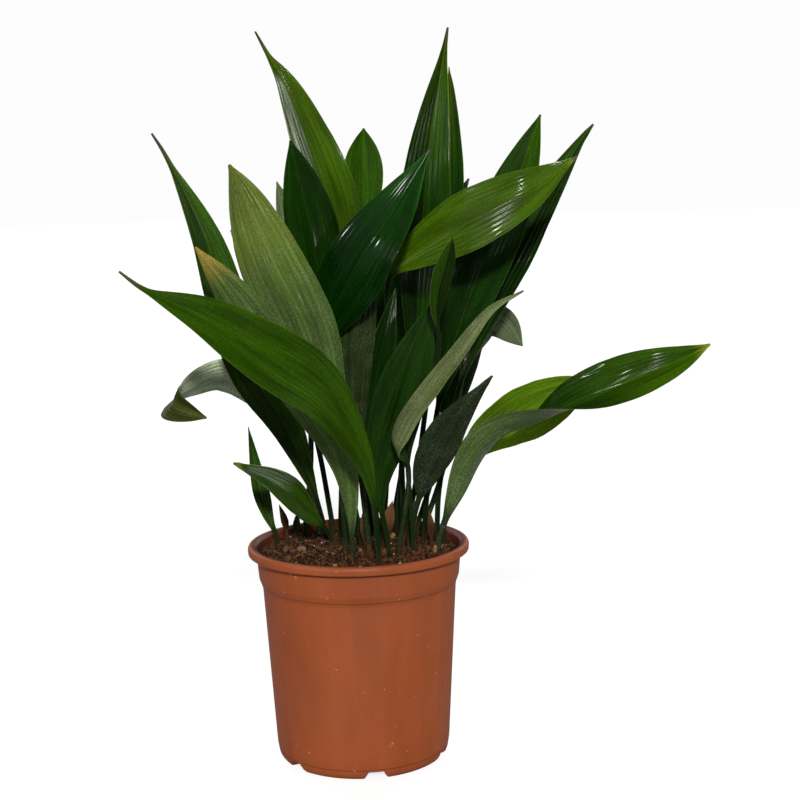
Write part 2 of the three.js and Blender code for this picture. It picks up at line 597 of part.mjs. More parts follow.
addPiece('pot', potGeometry(), matte(TERRACOTTA, PLASTIC_ROUGHNESS));
addPiece('soil', soilGeometry(), matte(SOIL_BROWN, SOIL_ROUGHNESS));
for (const [name, roots] of Object.entries(RHIZOMES)) {
  addPiece(name, rhizomeGeometry(roots, 0), matte(ROOT_CREAM, ROOT_ROUGHNESS));
}
for (const leaf of LEAVES) {
  addPiece(leaf.name, leafGeometry(leaf), matte(leaf.colour, LEAF_ROUGHNESS));
}

const model = new THREE.Group();
model.add(plant);
model.updateMatrixWorld(true);

export default model;
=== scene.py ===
# Looks of the potted cast iron plant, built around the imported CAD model.
import math

import bmesh
import bpy
import numpy as np
from mathutils import Matrix, Vector


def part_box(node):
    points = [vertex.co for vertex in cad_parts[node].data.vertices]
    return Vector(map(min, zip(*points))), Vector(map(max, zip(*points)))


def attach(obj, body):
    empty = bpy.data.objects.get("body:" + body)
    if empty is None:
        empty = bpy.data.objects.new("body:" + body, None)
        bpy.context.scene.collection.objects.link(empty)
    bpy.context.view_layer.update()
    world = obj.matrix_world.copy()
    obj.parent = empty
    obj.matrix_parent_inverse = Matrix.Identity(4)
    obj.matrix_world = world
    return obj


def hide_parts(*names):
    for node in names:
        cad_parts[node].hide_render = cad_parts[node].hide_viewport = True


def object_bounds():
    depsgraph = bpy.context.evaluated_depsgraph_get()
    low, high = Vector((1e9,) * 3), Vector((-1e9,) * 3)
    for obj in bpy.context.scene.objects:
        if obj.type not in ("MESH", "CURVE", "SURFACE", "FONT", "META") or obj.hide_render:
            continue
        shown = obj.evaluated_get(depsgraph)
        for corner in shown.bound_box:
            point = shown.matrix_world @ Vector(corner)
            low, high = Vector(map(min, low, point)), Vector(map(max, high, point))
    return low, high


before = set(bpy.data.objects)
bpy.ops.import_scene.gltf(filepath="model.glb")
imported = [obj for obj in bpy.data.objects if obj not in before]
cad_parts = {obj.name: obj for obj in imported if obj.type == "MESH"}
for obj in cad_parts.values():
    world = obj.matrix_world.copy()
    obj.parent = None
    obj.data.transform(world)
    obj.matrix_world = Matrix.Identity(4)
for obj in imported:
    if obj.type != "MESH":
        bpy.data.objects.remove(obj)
cad_low, cad_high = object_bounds()

MM = 0.001

# Lengths below are in millimetres from the pot's axis, as in the part's source.
pot_low, pot_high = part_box("pot")
AXIS = np.array([(pot_low.x + pot_high.x) / 2, (pot_low.y + pot_high.y) / 2, 0.0])

# Camera, fitted to the photograph: its place, its turn in degrees and its focal length in pixels.
CAMERA_PLACE = (0.0, -1400.0, 535.0)
CAMERA_PITCH = -7.93
CAMERA_YAW = 1.74
CAMERA_ROLL = -1.32
FOCAL_PIXELS = 1506.0
FRAME_PIXELS = 800.0
SENSOR_WIDTH = 36.0

# Pot
POT_SEGMENTS = 288
NOTCH_COUNT = 6
NOTCH_TURN = 7.7
NOTCH_HEIGHT = 7.5
NOTCH_ROOF = 13.0
NOTCH_MOUTH = 23.0
NOTCH_RADIUS = 77.5
NOTCH_TOP = 14.0
DRAIN_COUNT = 6
DRAIN_RADIUS = 4.5
DRAIN_RING = 46.0
DRAIN_SIDES = 32
DRAIN_CUT = (4.0, 16.0)
FOOT_INSIDE = 72.0
FOOT_PLATE = 9.0
WALL_STEP = 12.0
# Heights of the fine lines of painted shade where the collar and the foot meet the wall, and how dark
# they are.
POT_LINES = (169.5, 9.5)
POT_LINE_DEPTH = 0.5
# Outline from the centre of the underside round the outside to the centre of the inner floor.
# Each corner gives its radius from the axis, its height and its rounding.
POT_PROFILE = [
    (0.0, 9.0, 0.0), (70.5, 9.0, 1.5), (70.5, 0.0, 0.8), (77.5, 0.0, 1.5), (81.0, 4.0, 3.0),
    (82.8, 14.0, 4.0), (91.8, 166.0, 0.8), (95.0, 175.0, 0.8), (97.5, 203.2, 0.6),
    (102.6, 203.2, 0.4), (103.0, 198.0, 0.6), (104.5, 198.0, 0.6), (105.0, 203.2, 2.2),
    (103.4, 206.0, 1.4), (98.6, 206.0, 1.4), (95.7, 203.2, 1.2), (93.2, 175.0, 2.0),
    (90.0, 166.0, 2.0), (81.0, 14.0, 2.0), (77.5, 10.8, 1.5), (0.0, 10.8, 0.0),
]

# Soil
SOIL_EDGE = 197.0
SOIL_EDGE_RADIUS = 94.4
SOIL_CROWN = 3.0
SOIL_ROWS = 62
SOIL_SEGMENTS = 168
SOIL_WALL = [(89.6, 166.0), (80.6, 14.4), (77.0, 11.3), (0.0, 11.3)]
SOIL_ROUGHNESS = 1.5
SOIL_FINE_ROUGHNESS = 0.55
# Loose bits on the soil by their seed: the piece's name, how many there are, their sizes, their shape,
# how far from the axis they lie, how deep they sink, how finely round they are, and their material
# with its dark tone, its light tone and its roughness.
LOOSE_BITS = {
    21: ("soil_crumbs", 3200, (0.8, 2.6), (1, 0.85, 0.7), 91, 0.35, 1,
         ("soil_crumb", (20, 11, 5), (86, 52, 26), 0.9)),
    22: ("soil_chunks", 90, (1.8, 3.4), (1, 0.8, 0.6), 86, 0.4, 2,
         ("soil_chunk", (38, 22, 12), (96, 62, 35), 0.88)),
    23: ("soil_grit", 60, (0.6, 1.3), (1, 0.9, 0.8), 88, 0.0, 1,
         ("soil_grit", (176, 170, 156), (228, 224, 214), 0.8)),
    24: ("bark_chips", 26, (2.6, 5.0), (1, 0.6, 0.25), 84, 0.0, 2,
         ("bark", (66, 44, 28), (140, 106, 72), 0.8)),
}
STRAW_COUNT = 34
STRAW_REACH = 78
STRAW_CURL = 0.12
STRAW_LENGTHS = (7, 22)
STRAW_RADII = (0.22, 0.5)
STRAW_LIFT = 1.5
STRAW_ARCH = 1.6
STRAW_SIDES = 5
STRAW_STEPS = 9

# Papery scales round the feet of a share of the stalks
SCALE_SHARE = 0.3
SCALE_HEIGHTS = (3, 8)
SCALE_WIDTHS = (0.9, 1.5)
SCALE_GAPS = (0.25, 0.6)
SCALE_FLARES = (0.02, 0.09)
SCALE_THICKNESS = 0.4
SCALE_FOOT = -12
SCALE_ROWS = 9
SCALE_LEAST_HALF = 8

# Leaves
COLLAR_HEIGHT = 207.0
STEM_FOOT = 173.5
TIP_RADIUS = 0.35
TAIL_WIDTH = 3.0
TAIL_END = 0.3
SHEET = 0.62
SHEET_EDGE = 0.42
MARGIN_DRIFT = 0.035
WIDTH_DRIFT = 0.012
VALLEY_SOFTNESS = 0.005
STEM_TO_BLADE = 0.22
WAVE_OFFSET = 0.4
SPLINE_STEPS = 60
LINE_STEP = 1.0
LINE_SOFTNESS = 5.0
BURIED_STATIONS = (-33.5, -16.0, -8.0)
STALK_STEP = 6.0
BLADE_STEP = 3.4
LEAST_STATIONS = 6
TIP_ZONE = 6.0
TIP_STATIONS = 6
OUTLINE_SOFTNESS = 0.014
COLUMN_CROWDING = 1.12
# How many columns of points lie across a leaf, by the least half width that they are for.
COLUMNS = ((23, 57), (12, 45), (0, 25))
MIDRIB_WIDTH = 1.5
MIDRIB_GROOVE = 0.5
MIDRIB_KEEL = 0.75
MIDRIB_FADE = 0.7
LEAST_BARREL = 0.3
PLEAT_START = 5.0
PLEAT_END = 6.0
CHANNEL_WIDTH = 0.42
CHANNEL_DEPTH = 0.6

# Light
# Suns: azimuth from the front towards the right, elevation, strength and angle across.
SUNS = {
    "key": (2.0, 26.0, 3.25, 5.0),
    "rim_left": (-150.0, 28.0, 0.8, 40.0),
    "rim_right": (150.0, 28.0, 0.8, 40.0),
    "fill_left": (-75.0, 12.0, 0.6, 40.0),
    "fill_right": (75.0, 12.0, 0.6, 40.0),
}
GLINT_AIM = (0.0, 0.0, 0.45)
GLINT_DISTANCE = 1.5
GLINT_WIDTH = 0.07
# Small lamps that glint in the glossy leaves: azimuth, elevation, height in metres and power.
GLINTS = [(-11.0, 6.0, 0.12, 6.0), (-37.0, 1.0, 0.12, 6.0), (-60.0, 26.0, 0.12, 5.0),
          (7.0, -16.0, 0.12, 5.0)]
WORLD_LIGHT = 0.16
BACKDROP = 0.98
FLOOR_RADIUS = 30.0
FLOOR_HEIGHT = -0.0003
FLOOR_WHITE = 0.97
FLOOR_BOUNCE = 0.42
FLOOR_GLOW = 1.17
FLOOR_GLOW_SHARE = 0.65

# What a leaf has unless its row says otherwise: its widest place and its drawn-out tail as shares of
# the blade, how full its outline is below and above the widest place, its fold in degrees, the height
# and the number of its waves, and the radius of its stalk. Then its finish: the colour factor of all of
# it, partly its own colour and partly painted light and shade, the painted light and shade that makes
# one side of its fold lighter than the other, how yellow its upper end turns, partly young growth and
# partly painted light shining through, the tone of a yellow tip, the dust, the gloss, and the depth and
# the number of its lengthwise pleats.
USUAL_LEAF = dict(widest=0.5, full=(1.6, 1.8), tail=0, fold=12, wave=1.5, waves=1, stem_radius=2.6,
                  tint=(1.0, 1.0, 1.0), halves=(1.0, 1.0), fresh=0.0, tip_tone="ripe", dust=1.0,
                  gloss=0.15, pleat=0.12, pleats=6)


def blade(name, look, root, half, stem, facing, spine, **own):
    """A leaf that is like the usual one, apart from what is its own."""
    return {**USUAL_LEAF, "name": name, "look": look, "root": root, "half": half, "stem": stem,
            "facing": facing, "spine": spine, **own}


def rear_blade(*place, full=(1.6, 1.9), **own):
    """One of the leaves at the back, which are much alike."""
    return blade(*place, full=full, tail=0.03, wave=2, waves=1.5, **own)


def sheath(name, root, half, spine, widest=0.4):
    """A short dry sheath, hollow like a scoop."""
    return blade(name, "papery", root, half, 0.02, (0, 1, 0), spine, widest=widest, full=(1.6, 1.6),
                 fold=25, wave=0, stem_radius=1.8)


# Every leaf: its name, its look, the place of its foot, half its width, the share that is stalk, which
# way its upper face looks, and the points that its middle line passes above the collar. Then what is
# its own. Where the tip looks another way, tip_facing says so, under is the colour factor of the
# underside, partly painted light and shade, tip is how far down the yellow of the tip reaches, and
# bloom is a painted highlight of pale streaks: its start, end, cover and side.
LEAVES = [
    blade("leaf_front_left", "bright", (18, -62), 29, 0.12, (1, -0.9, 0.3), [(14, -86, 263),
        (3, -104, 308), (-27, -132, 364), (-72, -150, 400), (-123, -162, 436), (-168, -168, 459),
        (-188, -170, 475)], tip_facing=(0.1, -0.9, 0.4), widest=0.52, full=(1.2, 2.2), tail=0.08,
        wave=2, waves=1.5, tint=(0.62, 0.65, 0.2), tip=0.03),
    blade("leaf_broad_left", "pale", (-12, -14), 33, 0.25, (0.2, 1, 0.2), [(-14, -38, 255),
        (-17, -55, 310), (-44, -80, 411), (-72, -90, 478), (-93, -92, 538), (-102, -92, 560)],
        tip_facing=(0.4, 1, 0.2), full=(1.6, 3), fold=8, tint=(0.72, 0.84, 0.5), fresh=0.3, dust=0.6,
        pleat=0.45, pleats=5),
    blade("leaf_pale_left", "pale", (-6, -36), 25, 0.02, (0.2, 1, 0.2), [(-7, -52, 261),
        (-17, -72, 306), (-45, -98, 360), (-78, -118, 411), (-106, -132, 458), (-129, -138, 492)],
        tip_facing=(0.3, 1, 0.4), widest=0.62, full=(1.4, 2.4), tint=(0.72, 0.84, 0.52), tip=0.07,
        tip_tone="dry", dust=0.6, pleat=0.3, pleats=5),
    blade("leaf_far_left", "dark", (-32, 42), 23, 0.08, (0.6, -0.8, 0.3), [(-45, 22, 262),
        (-68, -8, 325), (-97, -32, 380), (-114, -50, 441), (-129, -56, 500), (-158, -58, 566),
        (-171, -58, 589)], tip_facing=(0.4, -1, 0.2), full=(2.2, 2), tail=0.08, wave=2, waves=2,
        tint=(3.6, 2.0, 4.0), under=(0.9, 1.1, 0.7), dust=2.0, pleat=0.3, halves=(0.6, 1.2)),
    blade("leaf_curled_left", "pale", (-38, 64), 19, 0.3, (0.3, 1.8, 0.3), [(-50, 50, 269),
        (-68, 38, 314), (-96, 20, 350), (-122, 10, 365), (-147, 5, 358), (-164, -3, 350),
        (-169, -18, 344), (-159, -28, 339), (-136, -28, 332)], tip_facing=(-0.4, -0.35, 0.2),
        full=(1.6, 3.6), fold=10, wave=1, waves=2, tint=(2.7, 1.1, 4.2), under=(5.0, 4.0, 7.6),
        pleat=0.9, pleats=5, dust=1.0),
    blade("leaf_spear_left", "dark", (-78, 24), 9, 0.05, (0.5, -1, 0), [(-87, 26, 228), (-95, 24, 260),
        (-102, 22, 315)], widest=0.4, full=(1.8, 1.3), fold=20, wave=0, tint=(3.2, 2.0, 3.5),
        under=(0.9, 1.1, 0.7), dust=2.0),
    blade("leaf_small_left", "bright", (-25, 18), 16, 0.1, (0.4, -0.8, 0.4), [(-45, -4, 234),
        (-61, -26, 257), (-80, -48, 276), (-109, -78, 298)], tip_facing=(0.2, -0.8, 0.6), widest=0.45,
        full=(2, 1.6), tail=0.03, wave=1, waves=1.5, tint=(0.8, 0.75, 0.8), bloom=(0.5, 0.9, 0.4, 1),
        tip=0.06, gloss=0.9, pleat=0.3, pleats=4),
    blade("leaf_tall_left", "bright", (-6, 40), 28, 0.42, (0.2, -1, 0), [(-4, 35, 320), (1, 20, 433),
        (-22, 4, 532), (-53, -2, 626), (-69, -2, 656), (-81, -2, 680)], tip_facing=(0.5, -0.9, 0.2),
        tail=0.08, fold=25, waves=2, tint=(1.05, 0.9, 0.6), halves=(0.6, 1.0), pleat=0.5, pleats=5,
        gloss=0.4, fresh=0.2, bloom=(0.5, 0.86, 0.85, -1)),
    blade("leaf_dark_left", "dark", (-17, 8), 25, 0.4, (0, -1, 0.2), [(-14, -2, 304), (-23, -18, 410),
        (-34, -32, 497), (-51, -42, 581)], tip_facing=(0.3, -1, 0.2), widest=0.62, full=(1.6, 2),
        fold=8, tint=(0.7, 0.85, 0.2), halves=(1.0, 0.8)),
    blade("leaf_narrow_back", "pale", (-4, 62), 15, 0.5, (0, 1, 0.2), [(-11, 60, 293), (-28, 70, 382),
        (-48, 78, 460), (-70, 84, 546)], tip_facing=(0.3, 1, 0.2), widest=0.6, full=(1.6, 2.2), fold=10,
        wave=1),
    blade("leaf_short_back", "bright", (13, 54), 20, 0.7, (0, -1, 0.2), [(7, 60, 300), (8, 82, 449),
        (13, 92, 531), (16, 98, 596)], tip_facing=(0.2, -1, 0.2), widest=0.6, full=(1.8, 2.2), fold=8,
        wave=1, tint=(0.66, 0.76, 0.3)),
    blade("leaf_dark_middle", "dark", (3, -10), 29, 0.47, (0.2, -1, 0.2), [(-12, -12, 296),
        (-24, -24, 364), (-25, -44, 411), (10, -70, 478), (37, -78, 516), (71, -82, 569)],
        tip_facing=(-0.1, -1, 0.3), widest=0.42, full=(2, 1.9), tail=0.03, fold=8, wave=2, waves=1.5,
        tint=(0.12, 0.55, 0.03), gloss=0.9, fresh=1.0),
    blade("leaf_bright_right", "bright", (44, 14), 28, 0.54, (-0.3, -1, 0.2), [(42, 6, 310),
        (35, -6, 400), (34, -20, 454), (58, -36, 478), (89, -58, 498), (150, -92, 530),
        (195, -106, 560)], tip_facing=(0.1, -1, 0.4), full=(1.6, 2), tail=0.03, fold=8, wave=2,
        waves=1.5, tint=(1.3, 1.08, 0.55), tip=0.03, gloss=0.7),
    blade("leaf_folded_middle", "pale", (10, -32), 21, 0.3, (0, 1, 0.2), [(2, -36, 299), (-2, -40, 383),
        (9, -38, 442), (23, -34, 475)], widest=0.6, fold=14, waves=2, tint=(0.17, 0.2, 0.13), pleat=0.9,
        pleats=4, dust=0.5),
    blade("leaf_tallest", "dark", (38, 34), 24, 0.32, (0, -1, 0), [(47, 28, 307), (60, 24, 400),
        (68, 14, 507), (77, 8, 585), (94, 4, 681)], tip_facing=(0.1, -1, 0), widest=0.52,
        full=(1.8, 1.6), tail=0.05, fold=10, tint=(1.0, 0.95, 0.35), pleat=0.7, pleats=5,
        halves=(0.5, 1.25), gloss=0.5, fresh=0.9),
    blade("leaf_tall_back", "dark", (48, 56), 16, 0.45, (0, -1, 0), [(60, 54, 263), (81, 56, 410),
        (95, 58, 525), (99, 58, 619), (98, 58, 650)], tip_facing=(-0.3, -1, 0), widest=0.45, wave=1,
        tint=(0.9, 0.9, 0.6), fresh=0.6),
    blade("leaf_back_right", "dark", (63, 14), 27, 0.3, (-0.3, -1, 0.2), [(70, 8, 280), (84, 0, 358),
        (108, -8, 433), (148, -4, 524), (178, 4, 601)], widest=0.52, full=(1.6, 2.2), fold=10,
        waves=1.5, tint=(0.65, 0.72, 0.7), halves=(0.7, 1.3), gloss=0.05, fresh=1.0),
    blade("leaf_pleated_right", "dark", (76, 26), 20, 0.35, (-0.3, -1, 0.2), [(82, 32, 262),
        (110, 24, 378), (161, 10, 486), (207, 0, 565), (226, -2, 591)], full=(1.6, 1.7), tail=0.03,
        fold=20, waves=1.5, tint=(1.1, 0.85, 1.5), under=(0.9, 1.1, 0.7), fresh=0.3, pleat=1.0,
        pleats=4, halves=(1.5, 0.9), dust=1.5, gloss=0.4),
    blade("leaf_small_upright", "pale", (51, -30), 9, 0.72, (0, -1, 0), [(49, -38, 252), (47, -49, 291),
        (57, -64, 331), (75, -80, 390), (73, -98, 438), (87, -114, 494)], tip_facing=(0.2, -1, 0.2),
        widest=0.6, full=(1.8, 2.2), fold=14, wave=0.5, stem_radius=2, tint=(0.7, 0.66, 0.5),
        halves=(1.5, 0.5), dust=0.5),
    blade("leaf_middle_front", "bright", (28, -26), 24, 0.12, (0, -1, 0.2), [(20, -36, 262),
        (27, -46, 305), (50, -62, 375), (71, -72, 436)], widest=0.58, fold=10, tint=(0.2, 0.32, 0.24),
        gloss=0.6),
    blade("leaf_crossing_front", "pale", (37, -44), 18, 0.28, (0.75, 0.2, -0.6), [(47, -50, 266),
        (46, -59, 291), (33, -71, 315), (44, -84, 345), (83, -104, 396), (115, -116, 433),
        (146, -122, 448)], widest=0.4, full=(4, 1.8), tail=0.04, fold=52, wave=1, waves=1.5,
        tint=(1.2, 1.0, 1.0), pleat=0.5, pleats=4, dust=0.7),
    blade("leaf_dark_right", "pale", (47, -11), 19, 0.24, (-0.2, 1, 0.3), [(58, -30, 254),
        (79, -60, 310), (93, -72, 334), (122, -84, 371)], tip_facing=(-0.2, 1, 0.4), widest=0.42,
        full=(2.2, 1.7), tail=0.04, fold=10, waves=1.5, tint=(0.15, 0.18, 0.17), dust=0.5),
    blade("leaf_low_right", "bright", (80, 4), 31, 0.3, (0.3, -0.9, -0.4), [(84, 0, 228), (98, -6, 266),
        (115, -14, 300), (147, -24, 324), (192, -34, 348), (224, -42, 358)], tip_facing=(0.2, -1, -0.3),
        full=(1.6, 2), fold=10, tint=(3.2, 2.4, 1.9), under=(1.2, 1.5, 0.9)),
    blade("leaf_far_right", "bright", (74, -20), 27, 0.06, (-0.4, 2, 0.6), [(90, -30, 251),
        (117, -50, 302), (165, -74, 328), (219, -84, 352), (252, -89, 367), (287, -93, 382),
        (313, -95, 395)], tip_facing=(0, -1.8, 0.6), widest=0.62, full=(2.4, 2.4), fold=28, wave=2,
        waves=1.5, stem_radius=3, tint=(0.25, 0.38, 0.03), under=(0.85, 0.92, 0.6), tip=0.03, gloss=0.7,
        fresh=1.0, pleat=0.25),
    blade("leaf_drooping_right", "pale", (65, 47), 19, 0.6, (-0.3, 1, 0.4), [(85, 58, 261),
        (102, 72, 328), (111, 80, 372), (124, 84, 400), (144, 82, 404), (167, 74, 380)],
        tip_facing=(0.3, 1, 0.4), full=(1.8, 2.6), fold=8, wave=1, tint=(1.3, 1.12, 1.6), dust=0.7),
    blade("leaf_narrow_middle", "dark", (20, 0), 14, 0.25, (0.3, -1, 0), [(14, -4, 265), (12, -8, 304),
        (24, -16, 380), (40, -22, 446)], widest=0.55, wave=1, tint=(0.4, 0.55, 0.3), gloss=0.9),
    rear_blade("leaf_rear_left", "dark", (-52, 50), 24, 0.35, (0, -0.5, 1), [(-45, 85, 275),
        (-47, 125, 360), (-50, 160, 425), (-54, 200, 465)]),
    rear_blade("leaf_rear_middle", "dark", (8, 72), 25, 0.4, (0, -0.7, 0.7), [(12, 90, 270),
        (16, 120, 350), (27, 150, 430), (42, 185, 505)], tint=(0.6, 0.7, 0.5)),
    rear_blade("leaf_rear_right", "bright", (34, 62), 22, 0.4, (-0.3, -0.7, 0.7), [(45, 85, 255),
        (64, 115, 335), (83, 145, 415), (98, 180, 490)], tint=(0.35, 0.45, 0.35)),
    rear_blade("leaf_rear_outer", "dark", (56, 35), 20, 0.35, (-0.4, -0.6, 0.8), [(74, 64, 250),
        (100, 105, 325), (124, 145, 385), (146, 185, 425)], tint=(0.6, 0.7, 0.5)),
    rear_blade("leaf_rear_low", "bright", (-4, 82), 22, 0.3, (0, -0.3, 1), [(-3, 105, 255),
        (5, 145, 300), (14, 195, 322), (24, 250, 310)], tip_facing=(0, 0.3, 1)),
    rear_blade("leaf_shaded_left", "dark", (-25, 60), 20, 0.3, (-0.2, -1, 0.3), [(-37, 68, 285),
        (-54, 78, 360), (-84, 92, 440), (-118, 104, 500)], tip_facing=(-0.4, -0.8, 0.5),
        full=(1.8, 1.9), tint=(0.4, 0.5, 0.35)),
    rear_blade("leaf_shaded_right", "dark", (26, 76), 22, 0.35, (0.2, -1, 0.3), [(36, 84, 300),
        (56, 96, 400), (84, 108, 480), (120, 118, 545)], tip_facing=(0.4, -0.8, 0.5),
        full=(1.8, 1.9), tint=(0.4, 0.5, 0.35)),
    blade("shoot_left", "bright", (-60, 42), 4, 0.02, (0, -1, 0), [(-60, 42, 216), (-58, 41, 228)],
        widest=0.3, full=(1.6, 1.4), fold=20, wave=0, stem_radius=2),
    sheath("sheath_left", (-69, 33), 4, [(-71, 34, 220), (-76, 35, 236)]),
    sheath("sheath_front", (7, -22), 5, [(6, -23, 222), (5, -24, 240)]),
    sheath("sheath_middle", (24, -13), 7, [(28, -12, 226), (33, -12, 246)], widest=0.45),
    sheath("sheath_right", (46, 2), 5, [(52, 0, 224), (54, -1, 244)]),
    sheath("sheath_outer", (69, -4), 4, [(69, -6, 218), (68, -8, 234)]),
]


# Numbers and colours

def tone(red, green, blue):
    """A screen colour from 0 to 255 as the linear colour that a material takes."""
    linear = []
    for value in (red, green, blue):
        share = value / 255
        linear.append(share / 12.92 if share <= 0.04045 else ((share + 0.055) / 1.055) ** 2.4)
    return (*linear, 1.0)


def shaded(colour, factor):
    return (colour[0] * factor, colour[1] * factor, colour[2] * factor, 1.0)


def grey(value):
    return (value, value, value, 1.0)


def smoothstep(value):
    value = np.clip(value, 0, 1)
    return value * value * (3 - 2 * value)


def unit(rows):
    return rows / np.linalg.norm(rows, axis=-1, keepdims=True)


# Mesh making

def make_piece(name, points, faces, attributes, material, sharp, replaced=None):
    """A mesh from points in millimetres round the pot's axis. It rides on the plant's one body.

    No point stands outside the box of the CAD model, and edges sharper than that angle stay sharp.
    """
    mesh = bpy.data.meshes.new(name)
    places = np.clip(np.asarray(points) * MM + AXIS, cad_low, cad_high)
    mesh.from_pydata(places.tolist(), [], faces)
    for label, values in attributes.items():
        layer = mesh.attributes.new(label, "FLOAT", "POINT")
        layer.data.foreach_set("value", np.asarray(values, np.float32).ravel())
    mesh.validate()
    mesh.shade_smooth()
    mesh.set_sharp_from_angle(angle=math.radians(sharp))
    mesh.materials.append(material)
    piece = bpy.data.objects.new(name, mesh)
    bpy.context.scene.collection.objects.link(piece)
    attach(piece, "root")
    if replaced:
        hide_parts(replaced)
    return piece


def grid_faces(rows, columns, start=0, closed=False, flipped=False):
    """Four-cornered faces between the points of a grid, whose rows may close into rings."""
    last = columns if closed else columns - 1
    row, column = np.meshgrid(np.arange(rows - 1), np.arange(last), indexing="ij")
    beside = (column + 1) % columns
    corners = [row * columns + column, (row + 1) * columns + column,
               (row + 1) * columns + beside, row * columns + beside]
    if flipped:
        corners.reverse()
    return (np.stack(corners, axis=-1).reshape(-1, 4) + start).tolist()


# Shader node helpers

def node(tree, kind, inputs=None, **settings):
    """A new shader node. Inputs are linked where they are sockets and set where they are values."""
    made = tree.nodes.new(kind)
    for key, value in settings.items():
        setattr(made, key, value)
    for key, value in (inputs or {}).items():
        if isinstance(value, bpy.types.NodeSocket):
            tree.links.new(value, made.inputs[key])
        else:
            made.inputs[key].default_value = value
    return made


def tree_of(*values):
    """The node tree of the first value that is a socket."""
    return next(value.id_data for value in values if isinstance(value, bpy.types.NodeSocket))


def calc(operation, first, second=0.0, third=0.0, clamp=False):
    made = node(tree_of(first, second), "ShaderNodeMath", {0: first, 1: second, 2: third},
                operation=operation, use_clamp=clamp)
    return made.outputs[0]


def times(first, second):
    return calc("MULTIPLY", first, second)


def plus(first, second, clamp=False):
    return calc("ADD", first, second, clamp=clamp)


def between(value, low, high, to_low=0.0, to_high=1.0):
    """The value's place between low and high, smoothed and clamped."""
    made = node(value.id_data, "ShaderNodeMapRange",
                {"Value": value, "From Min": low, "From Max": high,
                 "To Min": to_low, "To Max": to_high},
                interpolation_type="SMOOTHSTEP")
    return made.outputs[0]


def blend(factor, first, second, mode="MIX"):
    """Two colours mixed by a factor."""
    made = node(tree_of(factor, first, second), "ShaderNodeMix",
                {0: factor, 6: first, 7: second}, data_type="RGBA", blend_type=mode)
    return made.outputs[2]


def tinted(colour, factor):
    """The colour multiplied by another one or by a number."""
    return blend(1.0, colour, factor, "MULTIPLY")


def noise(place, scale, detail=3.0, roughness=0.5):
    made = node(place.id_data, "ShaderNodeTexNoise",
                {"Vector": place, "Scale": scale, "Detail": detail, "Roughness": roughness})
    return made.outputs[0]


def attribute(tree, label):
    return node(tree, "ShaderNodeAttribute", attribute_name=label).outputs["Fac"]


def object_place(tree):
    return node(tree, "ShaderNodeTexCoord").outputs["Object"]


def joined(x, y, z):
    return node(x.id_data, "ShaderNodeCombineXYZ", {0: x, 1: y, 2: z}).outputs[0]


def bump(height, distance, strength):
    made = node(height.id_data, "ShaderNodeBump",
                {"Height": height, "Distance": distance, "Strength": strength})
    return made.outputs["Normal"]


def new_material(name):
    material = bpy.data.materials.new(name)
    material.use_nodes = True
    material.node_tree.nodes.clear()
    return material, material.node_tree


def finished(material, colour, roughness, specular, normal, **more):
    """The material with its surface. More settings are named as the shader's sockets are."""
    settings = {"Base Color": colour, "Roughness": roughness, "Specular IOR Level": specular,
                "Normal": normal}
    settings.update({key.replace("_", " "): value for key, value in more.items()})
    shader = node(material.node_tree, "ShaderNodeBsdfPrincipled", settings)
    node(material.node_tree, "ShaderNodeOutputMaterial", {"Surface": shader.outputs[0]})
    return material


# Leaf shapes

def spline(controls):
    """A smooth line through the control points, in many short steps."""
    points = np.array(controls, float)
    before = 2 * points[0] - points[1]
    after = 2 * points[-1] - points[-2]
    points = np.vstack([before, points, after])
    share = np.linspace(0, 1, SPLINE_STEPS, endpoint=False)[:, None]
    pieces = []
    for k in range(1, len(points) - 2):
        start, end = points[k], points[k + 1]
        leaving = (end - points[k - 1]) / 2
        arriving = (points[k + 2] - start) / 2
        second = -3 * start + 3 * end - 2 * leaving - arriving
        third = 2 * start - 2 * end + leaving + arriving
        pieces.append(start + leaving * share + second * share**2 + third * share**3)
    pieces.append(points[-2][None])
    return np.vstack(pieces)


def softened(points):
    """The line with its small kinks evened out and its ends kept."""
    reach = int(3 * LINE_SOFTNESS / LINE_STEP)
    count = np.arange(reach, 0, -1)[:, None]
    before = points[0] - (points[1] - points[0]) * count
    after = points[-1] + (points[-1] - points[-2]) * count[::-1]
    padded = np.vstack([before, points, after])
    kernel = np.exp(-0.5 * (np.arange(-reach, reach + 1) * LINE_STEP / LINE_SOFTNESS) ** 2)
    kernel /= kernel.sum()
    return np.stack([np.convolve(padded[:, k], kernel, "valid") for k in range(3)], axis=1)


def leaf_line(leaf):
    """Points along the middle of a leaf from its foot to its tip, and their run from the collar."""
    root = leaf["root"]
    bent = spline([(root[0], root[1], COLLAR_HEIGHT)] + leaf["spine"])
    line = np.vstack([[(root[0], root[1], STEM_FOOT)], bent])
    run = np.concatenate([[0], np.cumsum(np.linalg.norm(np.diff(line, axis=0), axis=1))])
    steps = int(run[-1] / LINE_STEP)
    even = np.linspace(0, run[-1], steps + 1)
    return softened(place_on(line, run, even)), even - (COLLAR_HEIGHT - STEM_FOOT)


def place_on(line, run, where):
    return np.stack([np.interp(where, run, line[:, k]) for k in range(3)], axis=1)


def stations(length, stem):
    """Where along a leaf its rings stand: a few in the soil, more on the stalk, many in the blade."""
    end_zone = min(TIP_ZONE, 0.2 * length)
    start = stem * length
    stalk = np.arange(0, start, STALK_STEP)
    count = max(int((length - end_zone - start) / BLADE_STEP), LEAST_STATIONS)
    broad = np.linspace(start, length - end_zone, count, endpoint=False)
    tip = np.linspace(length - end_zone, length, TIP_STATIONS)
    return np.concatenate([BURIED_STATIONS, stalk, broad, tip])


